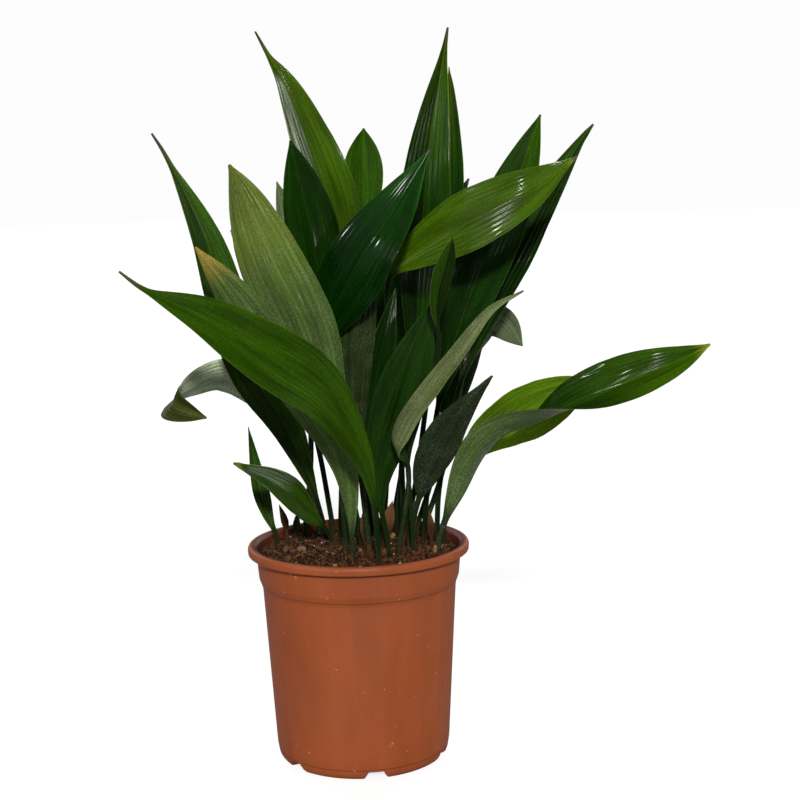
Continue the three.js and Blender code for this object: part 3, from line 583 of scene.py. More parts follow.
def outline(share, leaf):
    """The blade's half width along its length, as a share of the widest half width."""
    total = np.zeros_like(share)
    low, high = leaf["full"]
    widest = leaf["widest"]
    for shift, weight in ((-2, 0.1), (-1, 0.24), (0, 0.32), (1, 0.24), (2, 0.1)):
        body = np.clip((share + shift * OUTLINE_SOFTNESS) / (1 - leaf["tail"]), 0, 1)
        rising = 1 - np.clip(1 - body / widest, 0, 1) ** low
        falling = 1 - np.clip((body - widest) / (1 - widest), 0, 1) ** high
        total += weight * np.where(body < widest, rising, falling)
    return total


def drift(share, seed, across):
    """Slow uneven waves of the blade's margins, from about minus one to one."""
    draw = np.random.default_rng(seed)
    total = np.zeros(np.broadcast(share, across).shape)
    for count in (1.3, 2.6, 4.3, 7.1):
        left, right = draw.uniform(0, 2 * math.pi, 2)
        phase = np.where(across > 0, right, left)
        total += np.sin(2 * math.pi * count * share + phase) / count**0.6
    return total / 2


def leaf_columns(leaf):
    """Places across the leaf from minus one to one, closer together near the midrib."""
    count = next(columns for least, columns in COLUMNS if leaf["half"] >= least)
    even = np.linspace(-1, 1, count)
    return np.sign(even) * np.abs(even) ** COLUMN_CROWDING


def leaf_frame(leaf):
    """Where a leaf's rings stand and how they are turned."""
    line, run = leaf_line(leaf)
    length = run[-1]
    where = stations(length, leaf["stem"])
    place = place_on(line, run, where)
    ahead = place_on(line, run, where + LINE_STEP)
    behind = place_on(line, run, where - LINE_STEP)
    tangent = unit(ahead - behind)
    along = np.clip(where / length, 0, 1)
    first = np.array(leaf["facing"], float)
    last = np.array(leaf.get("tip_facing", first), float)
    up = first + (last - first) * along[:, None]
    up = unit(up - tangent * (up * tangent).sum(1, keepdims=True))
    side = np.cross(tangent, up)
    return where, along, place, up, side


def leaf_surfaces(leaf, seed):
    """The points of a leaf's upper and lower faces, and what its material needs to know of them."""
    where, along, place, up, side = leaf_frame(leaf)
    across = leaf_columns(leaf)[None, :]
    share = np.clip((along - leaf["stem"]) / (1 - leaf["stem"]), 0, 1)[:, None]
    stem_radius = leaf["stem_radius"]
    spread = outline(share, leaf)
    thin = stem_radius + (TIP_RADIUS - stem_radius) * np.sqrt(share)
    flat = smoothstep(share / STEM_TO_BLADE)
    narrowing = np.minimum(1, TAIL_END + (1 - share) / (2 * max(leaf["tail"], 0.001)))
    tail = flat * TAIL_WIDTH * narrowing
    tail *= leaf["tail"] > 0
    half = np.sqrt(thin**2 + tail**2 + (leaf["half"] * spread) ** 2)
    fold = math.radians(leaf["fold"]) * flat
    distance = np.abs(across)
    sharp = math.sqrt(VALLEY_SOFTNESS)
    valley = (np.sqrt(distance**2 + VALLEY_SOFTNESS) - sharp) / (math.sqrt(1 + VALLEY_SOFTNESS) - sharp)
    phase = 2 * math.pi * (leaf["waves"] * share + np.where(across > 0, WAVE_OFFSET, 0))
    ripple = leaf["wave"] * spread * across**2 * np.sin(phase)
    pleat = leaf["pleat"] * spread * np.cos(2 * math.pi * leaf["pleats"] * distance)
    pleat *= smoothstep(distance * half / PLEAT_START) * smoothstep((1 - distance) * PLEAT_END) * flat
    uneven = leaf["half"] * MARGIN_DRIFT * spread * distance**2 * drift(share, seed, across)
    lift = valley * half * np.sin(fold) + ripple + pleat + uneven
    sway = 1 + WIDTH_DRIFT * drift(share * 2.3, seed + 1, across) * flat
    lateral = across * half * np.cos(fold) * sway
    barrel = np.maximum(LEAST_BARREL, stem_radius * np.sqrt(np.maximum(0, 1 - across**2)))
    sheet = SHEET / 2 + (SHEET_EDGE - SHEET) / 2 * distance**6
    depth = barrel + (sheet - barrel) * flat
    channel = (1 - flat) * CHANNEL_DEPTH * stem_radius * np.exp(-(across / CHANNEL_WIDTH) ** 2)
    rib = flat * (1 - MIDRIB_FADE * share) * np.exp(-(across * half / MIDRIB_WIDTH) ** 2)
    high = lift + depth - channel - MIDRIB_GROOVE * rib
    low = lift - depth - MIDRIB_KEEL * rib
    middle = place[:, None] + side[:, None] * lateral[..., None]
    upper = middle + up[:, None] * high[..., None]
    lower = middle + up[:, None] * low[..., None]
    shape = np.broadcast(share, across).shape
    facts = {"across": across, "share": share, "run": where[:, None], "offset": across * half,
             "margin": (1 - distance) * half}
    return upper, lower, {label: np.broadcast_to(value, shape) for label, value in facts.items()}


def leaf_faces(rows, columns):
    """Faces of the closed leaf: upper side, lower side, two margins, foot and tip."""
    below = rows * columns
    faces = grid_faces(rows, columns, flipped=True)
    faces += grid_faces(rows, columns, start=below)
    for row in range(rows - 1):
        for column, turned in ((0, False), (columns - 1, True)):
            first = row * columns + column
            corners = [first, first + columns, first + columns + below, first + below]
            faces.append(corners[::-1] if turned else corners)
    for row, turned in ((0, True), (rows - 1, False)):
        for column in range(columns - 1):
            first = row * columns + column
            corners = [first, first + 1, first + 1 + below, first + below]
            faces.append(corners[::-1] if turned else corners)
    return faces


def make_leaf(leaf, seed):
    upper, lower, facts = leaf_surfaces(leaf, seed)
    rows, columns = upper.shape[:2]
    points = np.vstack([upper.reshape(-1, 3), lower.reshape(-1, 3)])
    attributes = {label: np.concatenate([v.ravel(), v.ravel()]) for label, v in facts.items()}
    attributes["upper"] = np.concatenate([np.ones(rows * columns), np.zeros(rows * columns)])
    if leaf["look"] == "papery":
        material, slot = papery_material(leaf["name"] + "_paper", seed), "sheath"
    else:
        material, slot = leaf_material(leaf["name"] + "_skin", leaf, seed), "leaf_" + leaf["look"]
    make_piece(leaf["name"] + "_blade", points, leaf_faces(rows, columns), attributes, material,
               60, leaf["name"])


# Leaf materials

LOOKS = {
    "bright": dict(light=(56, 90, 8), deep=(34, 62, 4), under_light=(88, 104, 64),
                   under_deep=(54, 72, 36), stalk=(26, 44, 14)),
    "dark": dict(light=(24, 56, 5), deep=(7, 32, 2), under_light=(78, 94, 58),
                 under_deep=(48, 64, 34), stalk=(22, 38, 13)),
    "pale": dict(light=(38, 68, 8), deep=(18, 42, 3), under_light=(92, 108, 66),
                 under_deep=(62, 80, 44), stalk=(30, 46, 18)),
}
TIP_TONES = {"ripe": tone(128, 142, 40), "dry": tone(152, 128, 48)}
MIDRIB_TONE = tone(96, 118, 48)
MARGIN_TONE = tone(100, 122, 64)
# The pale colour of the painted highlight streaks.
BLOOM_TONE = tone(186, 194, 178)
TAIL_TONE = tone(62, 58, 50)
DUST_TONE = tone(168, 174, 158)
STALK_BASE_TONE = tone(42, 40, 24)
FRESH_GAIN = (3.6, 2.3, 0.8, 1.0)
DUST_UPPER = 0.015
DUST_UNDER = 0.25
VEIN_PITCH = 2.2
RIDGE_SHARE = 0.4
# How many fine streaks and broad bands lie across a leaf, and how slowly they change along it. The broad
# bands are partly painted shade of the blade's lengthwise undulations.
STREAKS_ACROSS = 34.0
BANDS_ACROSS = 2.2
CHANGE_ALONG = 0.012


def leaf_colour(tree, leaf, streak, patch):
    """The colour of both faces of a blade, with veins, midrib, margin, tip and stalk."""
    look = {part: tone(*colour) for part, colour in LOOKS[leaf["look"]].items()}
    upper_side = attribute(tree, "upper")
    share = attribute(tree, "share")
    across = attribute(tree, "across")
    offset = calc("ABSOLUTE", attribute(tree, "offset"))
    vein = between(streak, 0.3, 0.72)
    upper = blend(vein, look["deep"], look["light"])
    under = blend(vein, look["under_deep"], look["under_light"])
    # Broad lighter and darker bands: partly mottling of the leaf's colour, partly painted shade of its
    # lengthwise undulations.
    face = tinted(blend(upper_side, under, upper), between(patch, 0.3, 0.7, 0.72, 1.35))
    face = blend(between(offset, 0.9, 0.2, 0.0, 0.08), face, MIDRIB_TONE)
    face = blend(between(attribute(tree, "margin"), 0.7, 0.1, 0.0, 0.35), face, MARGIN_TONE)
    # The per-leaf colour factors are partly the leaf's own colour and partly painted light and shade:
    # they lighten leaves that lie in shadow and darken leaves deep inside the plant.
    under_tint = leaf.get("under", leaf["tint"])
    face = tinted(face, blend(upper_side, (*under_tint, 1.0), (*leaf["tint"], 1.0)))
    # Painted light and shade: one side of the folded blade lighter than the other, as light falls on the
    # fold.
    face = tinted(face, between(across, -0.12, 0.12, *leaf["halves"]))
    # The upper end turns yellower: partly young growth, partly painted light shining through the leaf.
    fresh = between(share, 0.5, 0.92, 0.0, leaf["fresh"])
    face = blend(fresh, face, tinted(face, FRESH_GAIN))
    if "tip" in leaf:
        mottled = plus(share, times(patch, 0.1))
        ripe = between(mottled, 1.05 - 2 * leaf["tip"], 1.06, 0.0, 0.95)
        face = blend(ripe, face, TIP_TONES[leaf["tip_tone"]])
    # Painted highlight: pale streaks on one side of part of the blade, standing in for a glossy sheen.
    if "bloom" in leaf:
        start, end, cover, side = leaf["bloom"]
        film = times(between(share, start - 0.1, start + 0.05),
                     between(share, end - 0.05, end, cover, 0.0))
        film = times(film, between(across, -0.02 * side, 0.1 * side))
        face = blend(times(film, between(streak, 0.48, 0.6)), face, BLOOM_TONE)
    if leaf["tail"]:
        withered = between(share, 1 - leaf["tail"], 1 - 0.4 * leaf["tail"], 0.0, 0.85)
        face = blend(withered, face, TAIL_TONE)
    stalk = blend(vein, shaded(look["stalk"], 0.6), look["stalk"])
    face = blend(between(share, 0.0, 0.1), stalk, face)
    base = plus(attribute(tree, "run"), times(streak, 18.0))
    return blend(between(base, 22.0, 6.0, 0.0, 0.7), face, STALK_BASE_TONE)


def leaf_material(name, leaf, seed):
    """Glossy leaf skin with fine lengthwise veins, paler and duller on its underside."""
    material, tree = new_material(name)
    across = attribute(tree, "across")
    along = times(attribute(tree, "run"), CHANGE_ALONG)
    streak = noise(joined(times(across, STREAKS_ACROSS), along, float(seed)), 1.0, 4.0, 0.62)
    patch = noise(joined(times(across, BANDS_ACROSS), along, float(seed) + 7.0), 1.0, 2.0)
    face = leaf_colour(tree, leaf, streak, patch)
    veins = 2 * math.pi * leaf["half"] / VEIN_PITCH
    ridge = calc("SINE", calc("MULTIPLY_ADD", across, veins, times(patch, 9.0)))
    place = object_place(tree)
    specks = noise(place, 1100.0, 2.0)
    film = noise(place, 45.0, 3.0)
    upper_side = attribute(tree, "upper")
    amount = calc("MULTIPLY_ADD", upper_side, (DUST_UPPER - DUST_UNDER) * leaf["dust"],
                  DUST_UNDER * leaf["dust"])
    grains = times(times(between(specks, 0.45, 0.72), between(film, 0.3, 0.7)), amount)
    face = blend(grains, face, DUST_TONE)
    dull = calc("MULTIPLY_ADD", upper_side, -0.16, 0.5)
    rough = plus(plus(dull, times(streak, 0.14)), times(grains, 0.3), clamp=True)
    swell = times(ridge, between(film, 0.35, 0.65, 0.0, RIDGE_SHARE))
    flatter = between(attribute(tree, "share"), 0.62, 0.86, 1.0, 0.12)
    face = tinted(face, between(specks, 0.35, 0.65, 0.76, 1.22))
    normal = bump(times(plus(swell, streak), flatter), 0.0003, 0.5)
    return finished(material, face, rough, 0.02, normal, Specular_Tint=(0.75, 1.0, 0.6, 1.0),
                    Coat_Weight=leaf["gloss"], Coat_Roughness=0.1, Coat_IOR=1.2)


def papery_material(name, seed):
    """Dry brown sheath with lengthwise fibres, paler towards its tip."""
    material, tree = new_material(name)
    run = attribute(tree, "run")
    way = joined(times(attribute(tree, "across"), 9.0), times(run, 0.05), float(seed))
    fibre = noise(way, 1.0, 4.0, 0.65)
    face = blend(between(fibre, 0.35, 0.68), tone(30, 17, 8), tone(88, 52, 25))
    face = blend(between(run, 8.0, 30.0, 0.0, 0.4), face, tone(132, 94, 54))
    return finished(material, face, 0.78, 0.1, bump(fibre, 0.0005, 0.8))


# Pot

POT_DEEP = tone(131, 63, 31)
POT_LIGHT = tone(146, 73, 38)
POT_DULL = tone(138, 75, 46)
POT_SCUFF = tone(206, 150, 122)
# The dark of painted shade, on the inner wall and in the fine lines.
POT_INSIDE = tone(74, 28, 16)


def rounded_profile(corners):
    """The profile with each corner that has a rounding replaced by a short arc of points."""
    points = []
    for k, (radius, height, rounding) in enumerate(corners):
        corner = np.array([radius, height])
        if rounding == 0:
            points.append(corner)
            continue
        to_last = np.array(corners[k - 1][:2]) - corner
        to_next = np.array(corners[k + 1][:2]) - corner
        room = min(np.linalg.norm(to_last), np.linalg.norm(to_next)) * 0.45
        reach = min(rounding, room)
        start = corner + unit(to_last) * reach
        end = corner + unit(to_next) * reach
        for share in np.linspace(0, 1, 5):
            points.append((1 - share) ** 2 * start + 2 * share * (1 - share) * corner + share**2 * end)
    return np.array(points)


def long_steps(points, step):
    """The profile with its long runs split up, so that the wall has rows to shape."""
    made = [points[0]]
    for first, last in zip(points[:-1], points[1:]):
        count = max(int(np.linalg.norm(last - first) / step), 1)
        for k in range(1, count + 1):
            made.append(first + (last - first) * k / count)
    return np.array(made)


def notch_lift(turn):
    """How far the foot's lower edge is raised at each turn round the pot, in millimetres."""
    pitch = 360 / NOTCH_COUNT
    away = (turn - NOTCH_TURN + pitch / 2) % pitch - pitch / 2
    run = np.abs(np.radians(away)) * NOTCH_RADIUS
    share = (NOTCH_MOUTH / 2 - run) / ((NOTCH_MOUTH - NOTCH_ROOF) / 2)
    return NOTCH_HEIGHT * smoothstep(share)


def pot_rings():
    """Rings of points round the pot, from the underside's middle to the inner floor's middle."""
    profile = long_steps(rounded_profile(POT_PROFILE), WALL_STEP)[1:-1]
    turns = np.arange(POT_SEGMENTS) * 360 / POT_SEGMENTS
    lift = notch_lift(turns)[None, :]
    radius = np.repeat(profile[:, :1], POT_SEGMENTS, axis=1)
    height = np.repeat(profile[:, 1:], POT_SEGMENTS, axis=1)
    outer_half = np.arange(len(profile)) < np.argmax(profile[:, 1])
    top = np.where(profile[:, 0] < FOOT_INSIDE, FOOT_PLATE, NOTCH_TOP)
    in_foot = outer_half & (profile[:, 0] > FOOT_INSIDE - 2) & (profile[:, 1] < top)
    raised = lift + height * (top[:, None] - lift) / top[:, None]
    foot_wall = np.array(POT_PROFILE[3:6])
    lean = np.interp(raised, foot_wall[:, 1], foot_wall[:, 0])
    lean -= np.interp(height, foot_wall[:, 1], foot_wall[:, 0])
    on_wall = in_foot & (profile[:, 0] > NOTCH_RADIUS - 1)
    radius = np.where(on_wall[:, None], radius + lean, radius)
    height = np.where(in_foot[:, None], raised, height)
    angle = np.radians(turns - 90)[None, :]
    return np.stack([radius * np.cos(angle), radius * np.sin(angle), height], axis=-1)


def closed_lathe(rings, low, high):
    """Points and faces of rings closed by a point on the axis at the low and one at the high height."""
    rows, columns = rings.shape[:2]
    points = np.vstack([rings.reshape(-1, 3), [(0, 0, low), (0, 0, high)]])
    faces = grid_faces(rows, columns, closed=True, flipped=True)
    last_row = (rows - 1) * columns
    for k in range(columns):
        beside = (k + 1) % columns
        faces.append([rows * columns, beside, k])
        faces.append([rows * columns + 1, last_row + k, last_row + beside])
    return points, faces


def cut_drains(pot):
    """Round drain holes through the bottom plate, between the notches."""
    middle = (DRAIN_CUT[0] + DRAIN_CUT[1]) / 2
    depth = DRAIN_CUT[1] - DRAIN_CUT[0]
    cutters = []
    for k in range(DRAIN_COUNT):
        turn = math.radians(NOTCH_TURN + 360 * (k + 0.5) / DRAIN_COUNT - 90)
        place = np.array([DRAIN_RING * math.cos(turn), DRAIN_RING * math.sin(turn), middle]) * MM
        bpy.ops.mesh.primitive_cylinder_add(vertices=DRAIN_SIDES, radius=DRAIN_RADIUS * MM,
                                            depth=depth * MM, location=place + AXIS)
        cutters.append(bpy.context.object)
    for cutter in cutters:
        cut = pot.modifiers.new("drain", "BOOLEAN")
        cut.operation = "DIFFERENCE"
        cut.solver = "EXACT"
        cut.object = cutter
    with bpy.context.temp_override(object=pot, active_object=pot):
        for cut in list(pot.modifiers):
            bpy.ops.object.modifier_apply(modifier=cut.name)
    for cutter in cutters:
        bpy.data.meshes.remove(cutter.data)


def make_pot():
    rings = pot_rings()
    points, faces = closed_lathe(rings, POT_PROFILE[0][1], POT_PROFILE[-1][1])
    rows = rings.shape[0]
    top = np.argmax(rings[:, 0, 2])
    inside = (np.arange(rows) > top).astype(float)
    marks = np.concatenate([np.repeat(inside, POT_SEGMENTS), [0, 1]])
    pot = make_piece("pot_shell", points, faces, {"inside": marks}, pot_material(), 42, "pot")
    cut_drains(pot)


def pot_material():
    """Terracotta coloured plastic: mottled in the moulding, scuffed, a little dusty, with painted shade
    inside.
    """
    material, tree = new_material("pot_plastic")
    place = object_place(tree)
    x, y, z = node(tree, "ShaderNodeSeparateXYZ", {0: place}).outputs
    mottle = noise(joined(x, y, times(z, 0.25)), 26.0, 4.0, 0.6)
    cloud = noise(place, 11.0, 2.0)
    grain = noise(place, 900.0, 2.0)
    face = blend(between(mottle, 0.3, 0.7), POT_DEEP, POT_LIGHT)
    face = blend(between(cloud, 0.35, 0.7, 0.0, 0.35), face, POT_DULL)
    scuff = between(noise(joined(x, y, times(z, 0.18)), 310.0, 3.0), 0.66, 0.74)
    scuffs = times(scuff, between(noise(place, 34.0, 2.0), 0.56, 0.66))
    spots = between(noise(place, 190.0, 1.0), 0.74, 0.79)
    face = blend(times(scuffs, 0.35), face, POT_SCUFF)
    face = blend(times(spots, 0.45), face, POT_SCUFF)
    # Painted shade: thin dark lines where the collar and the foot step into the wall.
    for height in POT_LINES:
        away = calc("ABSOLUTE", calc("SUBTRACT", z, height * MM))
        face = blend(between(away, 0.3 * MM, 0.8 * MM, POT_LINE_DEPTH, 0.0), face, POT_INSIDE)
    # Painted shade: the inner wall much darker than the outside.
    face = blend(times(attribute(tree, "inside"), 0.8), face, POT_INSIDE)
    rough = plus(plus(0.4, times(mottle, 0.16)), times(scuffs, 0.2), clamp=True)
    return finished(material, face, rough, 0.12, bump(plus(times(grain, 0.4), scuffs), 0.0001, 0.35))


# Soil

def lumps(x, y, seed, width, octaves=4):
    """Smooth uneven heights over the soil, from about minus one to one."""
    draw = np.random.default_rng(seed)
    total = np.zeros_like(x)
    for octave in range(octaves):
        scale = width / 1.9**octave
        for _ in range(5):
            turn, phase = draw.uniform(0, 2 * math.pi, 2)
            way = (x * math.cos(turn) + y * math.sin(turn)) / scale
            total += np.sin(2 * math.pi * way + phase) / 1.5**octave
    return total / 6


def soil_height(x, y):
    """The lumpy top of the soil at a place, highest round the middle."""
    radius = np.hypot(x, y)
    crown = SOIL_CROWN * (1 - smoothstep(radius / SOIL_EDGE_RADIUS))
    fade = smoothstep((SOIL_EDGE_RADIUS - radius) / 4)
    rough = SOIL_ROUGHNESS * lumps(x, y, 11, 34.0) + SOIL_FINE_ROUGHNESS * lumps(x, y, 12, 7.0, 3)
    return SOIL_EDGE + crown + rough * (0.35 + 0.65 * fade)


def soil_level(x, y):
    """The height of the soil's top at one place."""
    return float(soil_height(np.array([x]), np.array([y]))[0])


def make_soil():
    """The potting mix: a lumpy top, and the sides and bottom that the pot hides."""
    turns = np.arange(SOIL_SEGMENTS) * 2 * math.pi / SOIL_SEGMENTS
    reach = SOIL_EDGE_RADIUS * np.linspace(1, 0, SOIL_ROWS, endpoint=False)[::-1]
    x = reach[:, None] * np.cos(turns)
    y = reach[:, None] * np.sin(turns)
    top = np.stack([x, y, soil_height(x, y)], axis=-1)
    walls = []
    for radius, height in SOIL_WALL[:-1]:
        walls.append(np.stack([radius * np.cos(turns), radius * np.sin(turns),
                               np.full_like(turns, height)], axis=-1))
    rings = np.concatenate([top, np.array(walls)])[::-1]
    points, faces = closed_lathe(rings, SOIL_WALL[-1][1], soil_level(0.0, 0.0))
    make_piece("soil_body", points, faces, {}, soil_material(), 80, "soil")


def soil_material():
    """Moist crumbly mix, darker in the hollows of its bump as painted shade."""
    material, tree = new_material("soil_mix")
    place = object_place(tree)
    coarse = noise(place, 210.0, 4.0, 0.65)
    fine = noise(place, 900.0, 3.0, 0.6)
    # Painted shade: darker where the bump is low.
    face = blend(between(coarse, 0.35, 0.68), tone(17, 9, 4), tone(78, 46, 20))
    face = blend(between(fine, 0.5, 0.7, 0.0, 0.5), face, tone(98, 60, 31))
    return finished(material, face, 0.92, 0.1, bump(plus(coarse, times(fine, 0.5)), 0.002, 0.9))


def grain_material(name, dark, light, roughness):
    """Loose bits whose colour differs from one to the next."""
    material, tree = new_material(name)
    spots = noise(object_place(tree), 700.0, 3.0, 0.6)
    each = plus(attribute(tree, "grain"), times(spots, 0.5))
    face = blend(between(each, 0.2, 1.3), tone(*dark), tone(*light))
    return finished(material, face, roughness, 0.12, bump(spots, 0.0008, 0.7))


def pebble(divisions):
    """The points and faces of a small round body to make bits from."""
    mesh = bpy.data.meshes.new("pebble")
    work = bmesh.new()
    bmesh.ops.create_icosphere(work, subdivisions=divisions, radius=1.0)
    work.to_mesh(mesh)
    work.free()
    points = np.array([v.co for v in mesh.vertices])
    faces = np.array([list(p.vertices) for p in mesh.polygons])
    bpy.data.meshes.remove(mesh)
    return points, faces


def turned(points, draw):
    """The points turned at random."""
    axes, _ = np.linalg.qr(draw.normal(size=(3, 3)))
    return points @ axes


def random_place(draw, reach):
    """A random place on the soil, up to that far from the pot's axis."""
    radius = reach * math.sqrt(draw.uniform(0, 1))
    turn = draw.uniform(0, 2 * math.pi)
    return radius * math.cos(turn), radius * math.sin(turn)


def scatter(name, material, count, sizes, shape, reach, sunk, divisions, seed):
    """Many irregular bits lying on the soil, as one piece."""
    draw = np.random.default_rng(seed)
    base, base_faces = pebble(divisions)
    points, faces, marks = [], [], []
    for k in range(count):
        size = draw.uniform(*sizes)
        stretch = np.array(shape) * draw.uniform(0.75, 1.25, 3) * size
        rough = base * (1 + draw.uniform(-0.24, 0.24, (len(base), 1)))
        bit = turned(rough * stretch, draw)
        x, y = random_place(draw, reach)
        lowest = bit[:, 2].min()
        rise = soil_level(x, y) - lowest * (1 - sunk) - size * sunk * 0.4
        points.append(bit + [x, y, rise])
        faces.append(base_faces + k * len(base))
        marks.append(np.full(len(base), draw.uniform(0, 1)))
    make_piece(name, np.vstack(points), np.vstack(faces).tolist(),
               {"grain": np.concatenate(marks)}, material, 70)


def make_loose_bits():
    for seed, (name, count, sizes, shape, reach, sunk, divisions, look) in LOOSE_BITS.items():
        scatter(name, grain_material(*look), count, sizes, shape, reach, sunk, divisions, seed)


def make_straws():
    """Dry fibres lying on the soil among the stems."""
    draw = np.random.default_rng(71)
    points, faces, marks = [], [], []
    around = np.arange(STRAW_SIDES) * 2 * math.pi / STRAW_SIDES
    for _ in range(STRAW_COUNT):
        x, y = random_place(draw, STRAW_REACH)
        turn = draw.uniform(0, 2 * math.pi)
        curl = draw.uniform(-STRAW_CURL, STRAW_CURL)
        length = draw.uniform(*STRAW_LENGTHS)
        thick = draw.uniform(*STRAW_RADII)
        start = len(points) * STRAW_SIDES
        for step in range(STRAW_STEPS):
            share = step / (STRAW_STEPS - 1)
            height = soil_level(x, y) + STRAW_LIFT + thick
            arch = STRAW_ARCH * math.sin(math.pi * share) * draw.uniform(0.6, 1.4)
            side = np.array([-math.sin(turn), math.cos(turn), 0])
            size = thick * (1 - 0.6 * share)
            ring = (np.array([x, y, height + arch]) + side * (size * np.cos(around))[:, None]
                    + np.array([0, 0, 1]) * (size * np.sin(around))[:, None])
            points.append(ring)
            marks.append(np.full(STRAW_SIDES, draw.uniform(0, 1)))
            x += math.cos(turn) * length / STRAW_STEPS
            y += math.sin(turn) * length / STRAW_STEPS
            turn += curl * 2
        faces += grid_faces(STRAW_STEPS, STRAW_SIDES, start=start, closed=True)
        faces.append([start + i for i in range(STRAW_SIDES)])
        last = start + (STRAW_STEPS - 1) * STRAW_SIDES
        faces.append([last + i for i in reversed(range(STRAW_SIDES))])
    material = grain_material("straw", (66, 44, 24), (150, 118, 72), 0.75)
    make_piece("straw_fibres", np.vstack(points), faces, {"grain": np.concatenate(marks)}, material,
               60)


# Papery scales round the stalks' feet

def make_scales():
    """Dry pointed scales that wrap the lowest part of the stalks, as one piece."""
    draw = np.random.default_rng(31)
    points, faces, facts = [], [], {"across": [], "run": []}
    for leaf in LEAVES:
        if leaf["look"] == "papery" or leaf["half"] < SCALE_LEAST_HALF:
            continue
        line, run = leaf_line(leaf)
        if draw.uniform() >= SCALE_SHARE:
            continue
        height = draw.uniform(*SCALE_HEIGHTS)
        turn = draw.uniform(0, 2 * math.pi)
        width = draw.uniform(*SCALE_WIDTHS)
        gap = draw.uniform(*SCALE_GAPS)
        flare = draw.uniform(*SCALE_FLARES)
        levels = np.linspace(SCALE_FOOT, height, SCALE_ROWS)
        middle = place_on(line, run, levels)
        share = np.clip(levels / height, 0, 1)[:, None]
        across = np.linspace(-1, 1, SCALE_ROWS)[None, :]
        angle = turn + across * width * (1 - share**2) ** 0.7
        radius = leaf["stem_radius"] + gap + flare * height * share**2
        start = len(points) * SCALE_ROWS**2
        for thickness in (SCALE_THICKNESS, 0.0):
            reach = radius + thickness * (1 - 0.6 * share)
            ring = middle[:, None] + np.stack(
                [reach * np.cos(angle), reach * np.sin(angle), np.zeros_like(angle)], axis=-1)
            points.append(ring.reshape(-1, 3))
            facts["across"].append(np.broadcast_to(across, angle.shape).ravel())
            facts["run"].append(np.broadcast_to(levels[:, None], angle.shape).ravel())
        faces += [[i + start for i in face] for face in leaf_faces(SCALE_ROWS, SCALE_ROWS)]
    attributes = {label: np.concatenate(values) for label, values in facts.items()}
    make_piece("stalk_scales", np.vstack(points), faces, attributes,
               papery_material("stalk_scale_paper", 5), 60)


# Rhizomes stay as CAD solids inside the soil

def rhizome_material():
    material, tree = new_material("rhizome_skin")
    rings = noise(object_place(tree), 160.0, 4.0, 0.6)
    face = blend(between(rings, 0.35, 0.65), tone(120, 100, 66), tone(196, 180, 132))
    return finished(material, face, 0.7, 0.5, bump(rings, 0.001, 0.6))


def dress_rhizomes():
    material = rhizome_material()
    for name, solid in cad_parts.items():
        if name.startswith("rhizome"):
            solid.data.materials.clear()
            solid.data.materials.append(material)


# Stage, light and camera

def make_camera():
    pitch, yaw, roll = (math.radians(a) for a in (CAMERA_PITCH, CAMERA_YAW, CAMERA_ROLL))
    forward = Vector((math.sin(yaw) * math.cos(pitch), math.cos(yaw) * math.cos(pitch),
                      math.sin(pitch)))
    level = forward.cross(Vector((0, 0, 1))).normalized()
    raised = level.cross(forward)
    right = math.cos(roll) * level + math.sin(roll) * raised
    up = -math.sin(roll) * level + math.cos(roll) * raised
    data = bpy.data.cameras.new("camera")
    data.sensor_fit = "HORIZONTAL"
    data.sensor_width = SENSOR_WIDTH
    data.lens = SENSOR_WIDTH * FOCAL_PIXELS / FRAME_PIXELS
    camera = bpy.data.objects.new("camera", data)
    place = Vector(np.array(CAMERA_PLACE) * MM + AXIS)
    turn = Matrix((right, up, -forward)).transposed().to_4x4()
    camera.matrix_world = Matrix.Translation(place) @ turn
    bpy.context.scene.collection.objects.link(camera)
    bpy.context.scene.camera = camera


def add_lamp(name, kind, azimuth, elevation, power):
    """A lamp that shines from that azimuth and elevation, and the direction from which it does."""
    lamp = bpy.data.objects.new(name, bpy.data.lights.new(name, kind))
    lamp.data.energy = power
    side, rise = math.radians(azimuth), math.radians(elevation)
    source = Vector((math.sin(side) * math.cos(rise), -math.cos(side) * math.cos(rise),
                     math.sin(rise)))
    lamp.rotation_euler = source.to_track_quat("Z", "Y").to_euler()
    bpy.context.scene.collection.objects.link(lamp)
    return lamp, source


def make_sun(name, azimuth, elevation, strength, angle):
    sun, _ = add_lamp(name, "SUN", azimuth, elevation, strength)
    sun.data.angle = math.radians(angle)


def make_glint(name, azimuth, elevation, height, power):
    """A narrow upright lamp that only shows in gloss."""
    lamp, source = add_lamp(name, "AREA", azimuth, elevation, power)
    lamp.data.shape = "RECTANGLE"
    lamp.data.size = GLINT_WIDTH
    lamp.data.size_y = height
    lamp.location = Vector(GLINT_AIM) + source * GLINT_DISTANCE
    lamp.visible_diffuse = False


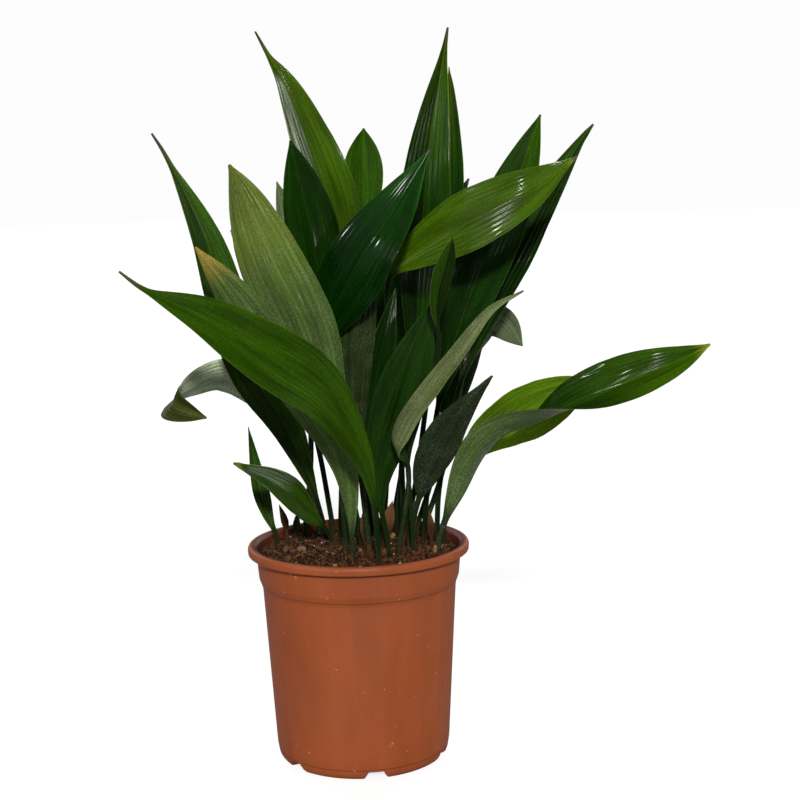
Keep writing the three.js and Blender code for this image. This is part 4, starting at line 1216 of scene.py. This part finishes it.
def seen_apart(tree, unseen, seen):
    """One shader for what the camera looks at directly and another for the light that it gives."""
    path = node(tree, "ShaderNodeLightPath")
    either = node(tree, "ShaderNodeMixShader", {0: path.outputs["Is Camera Ray"],
                                                1: unseen.outputs[0], 2: seen.outputs[0]})
    return either.outputs[0]


def make_world():
    """Even grey light all round, which the camera itself sees as a white backdrop."""
    world = bpy.data.worlds.new("studio")
    bpy.context.scene.world = world
    world.use_nodes = True
    tree = world.node_tree
    tree.nodes.clear()
    light = node(tree, "ShaderNodeBackground", {"Color": (1, 1, 1, 1), "Strength": WORLD_LIGHT})
    seen = node(tree, "ShaderNodeBackground", {"Color": (1, 1, 1, 1), "Strength": BACKDROP})
    node(tree, "ShaderNodeOutputWorld", {"Surface": seen_apart(tree, light, seen)})


def make_floor():
    mesh = bpy.data.meshes.new("floor")
    work = bmesh.new()
    bmesh.ops.create_circle(work, cap_ends=True, segments=96, radius=FLOOR_RADIUS)
    work.to_mesh(mesh)
    work.free()
    material, tree = new_material("floor_white")
    bounced = node(tree, "ShaderNodeBsdfDiffuse", {"Color": grey(FLOOR_BOUNCE)})
    lit = node(tree, "ShaderNodeBsdfDiffuse", {"Color": grey(FLOOR_WHITE)})
    glow = node(tree, "ShaderNodeEmission", {"Color": grey(1.0), "Strength": FLOOR_GLOW})
    seen = node(tree, "ShaderNodeMixShader",
                {0: FLOOR_GLOW_SHARE, 1: lit.outputs[0], 2: glow.outputs[0]})
    node(tree, "ShaderNodeOutputMaterial", {"Surface": seen_apart(tree, bounced, seen)})
    mesh.materials.append(material)
    floor = bpy.data.objects.new("floor", mesh)
    floor.location = (0, 0, FLOOR_HEIGHT)
    bpy.context.scene.collection.objects.link(floor)


bpy.context.scene.view_settings.view_transform = "Standard"
make_camera()
make_world()
make_floor()
for name, settings in SUNS.items():
    make_sun(name, *settings)
for number, settings in enumerate(GLINTS):
    make_glint(f"glint_{number}", *settings)

make_pot()
make_soil()
make_loose_bits()
make_straws()
for number, leaf in enumerate(LEAVES):
    make_leaf(leaf, number)
make_scales()
dress_rhizomes()
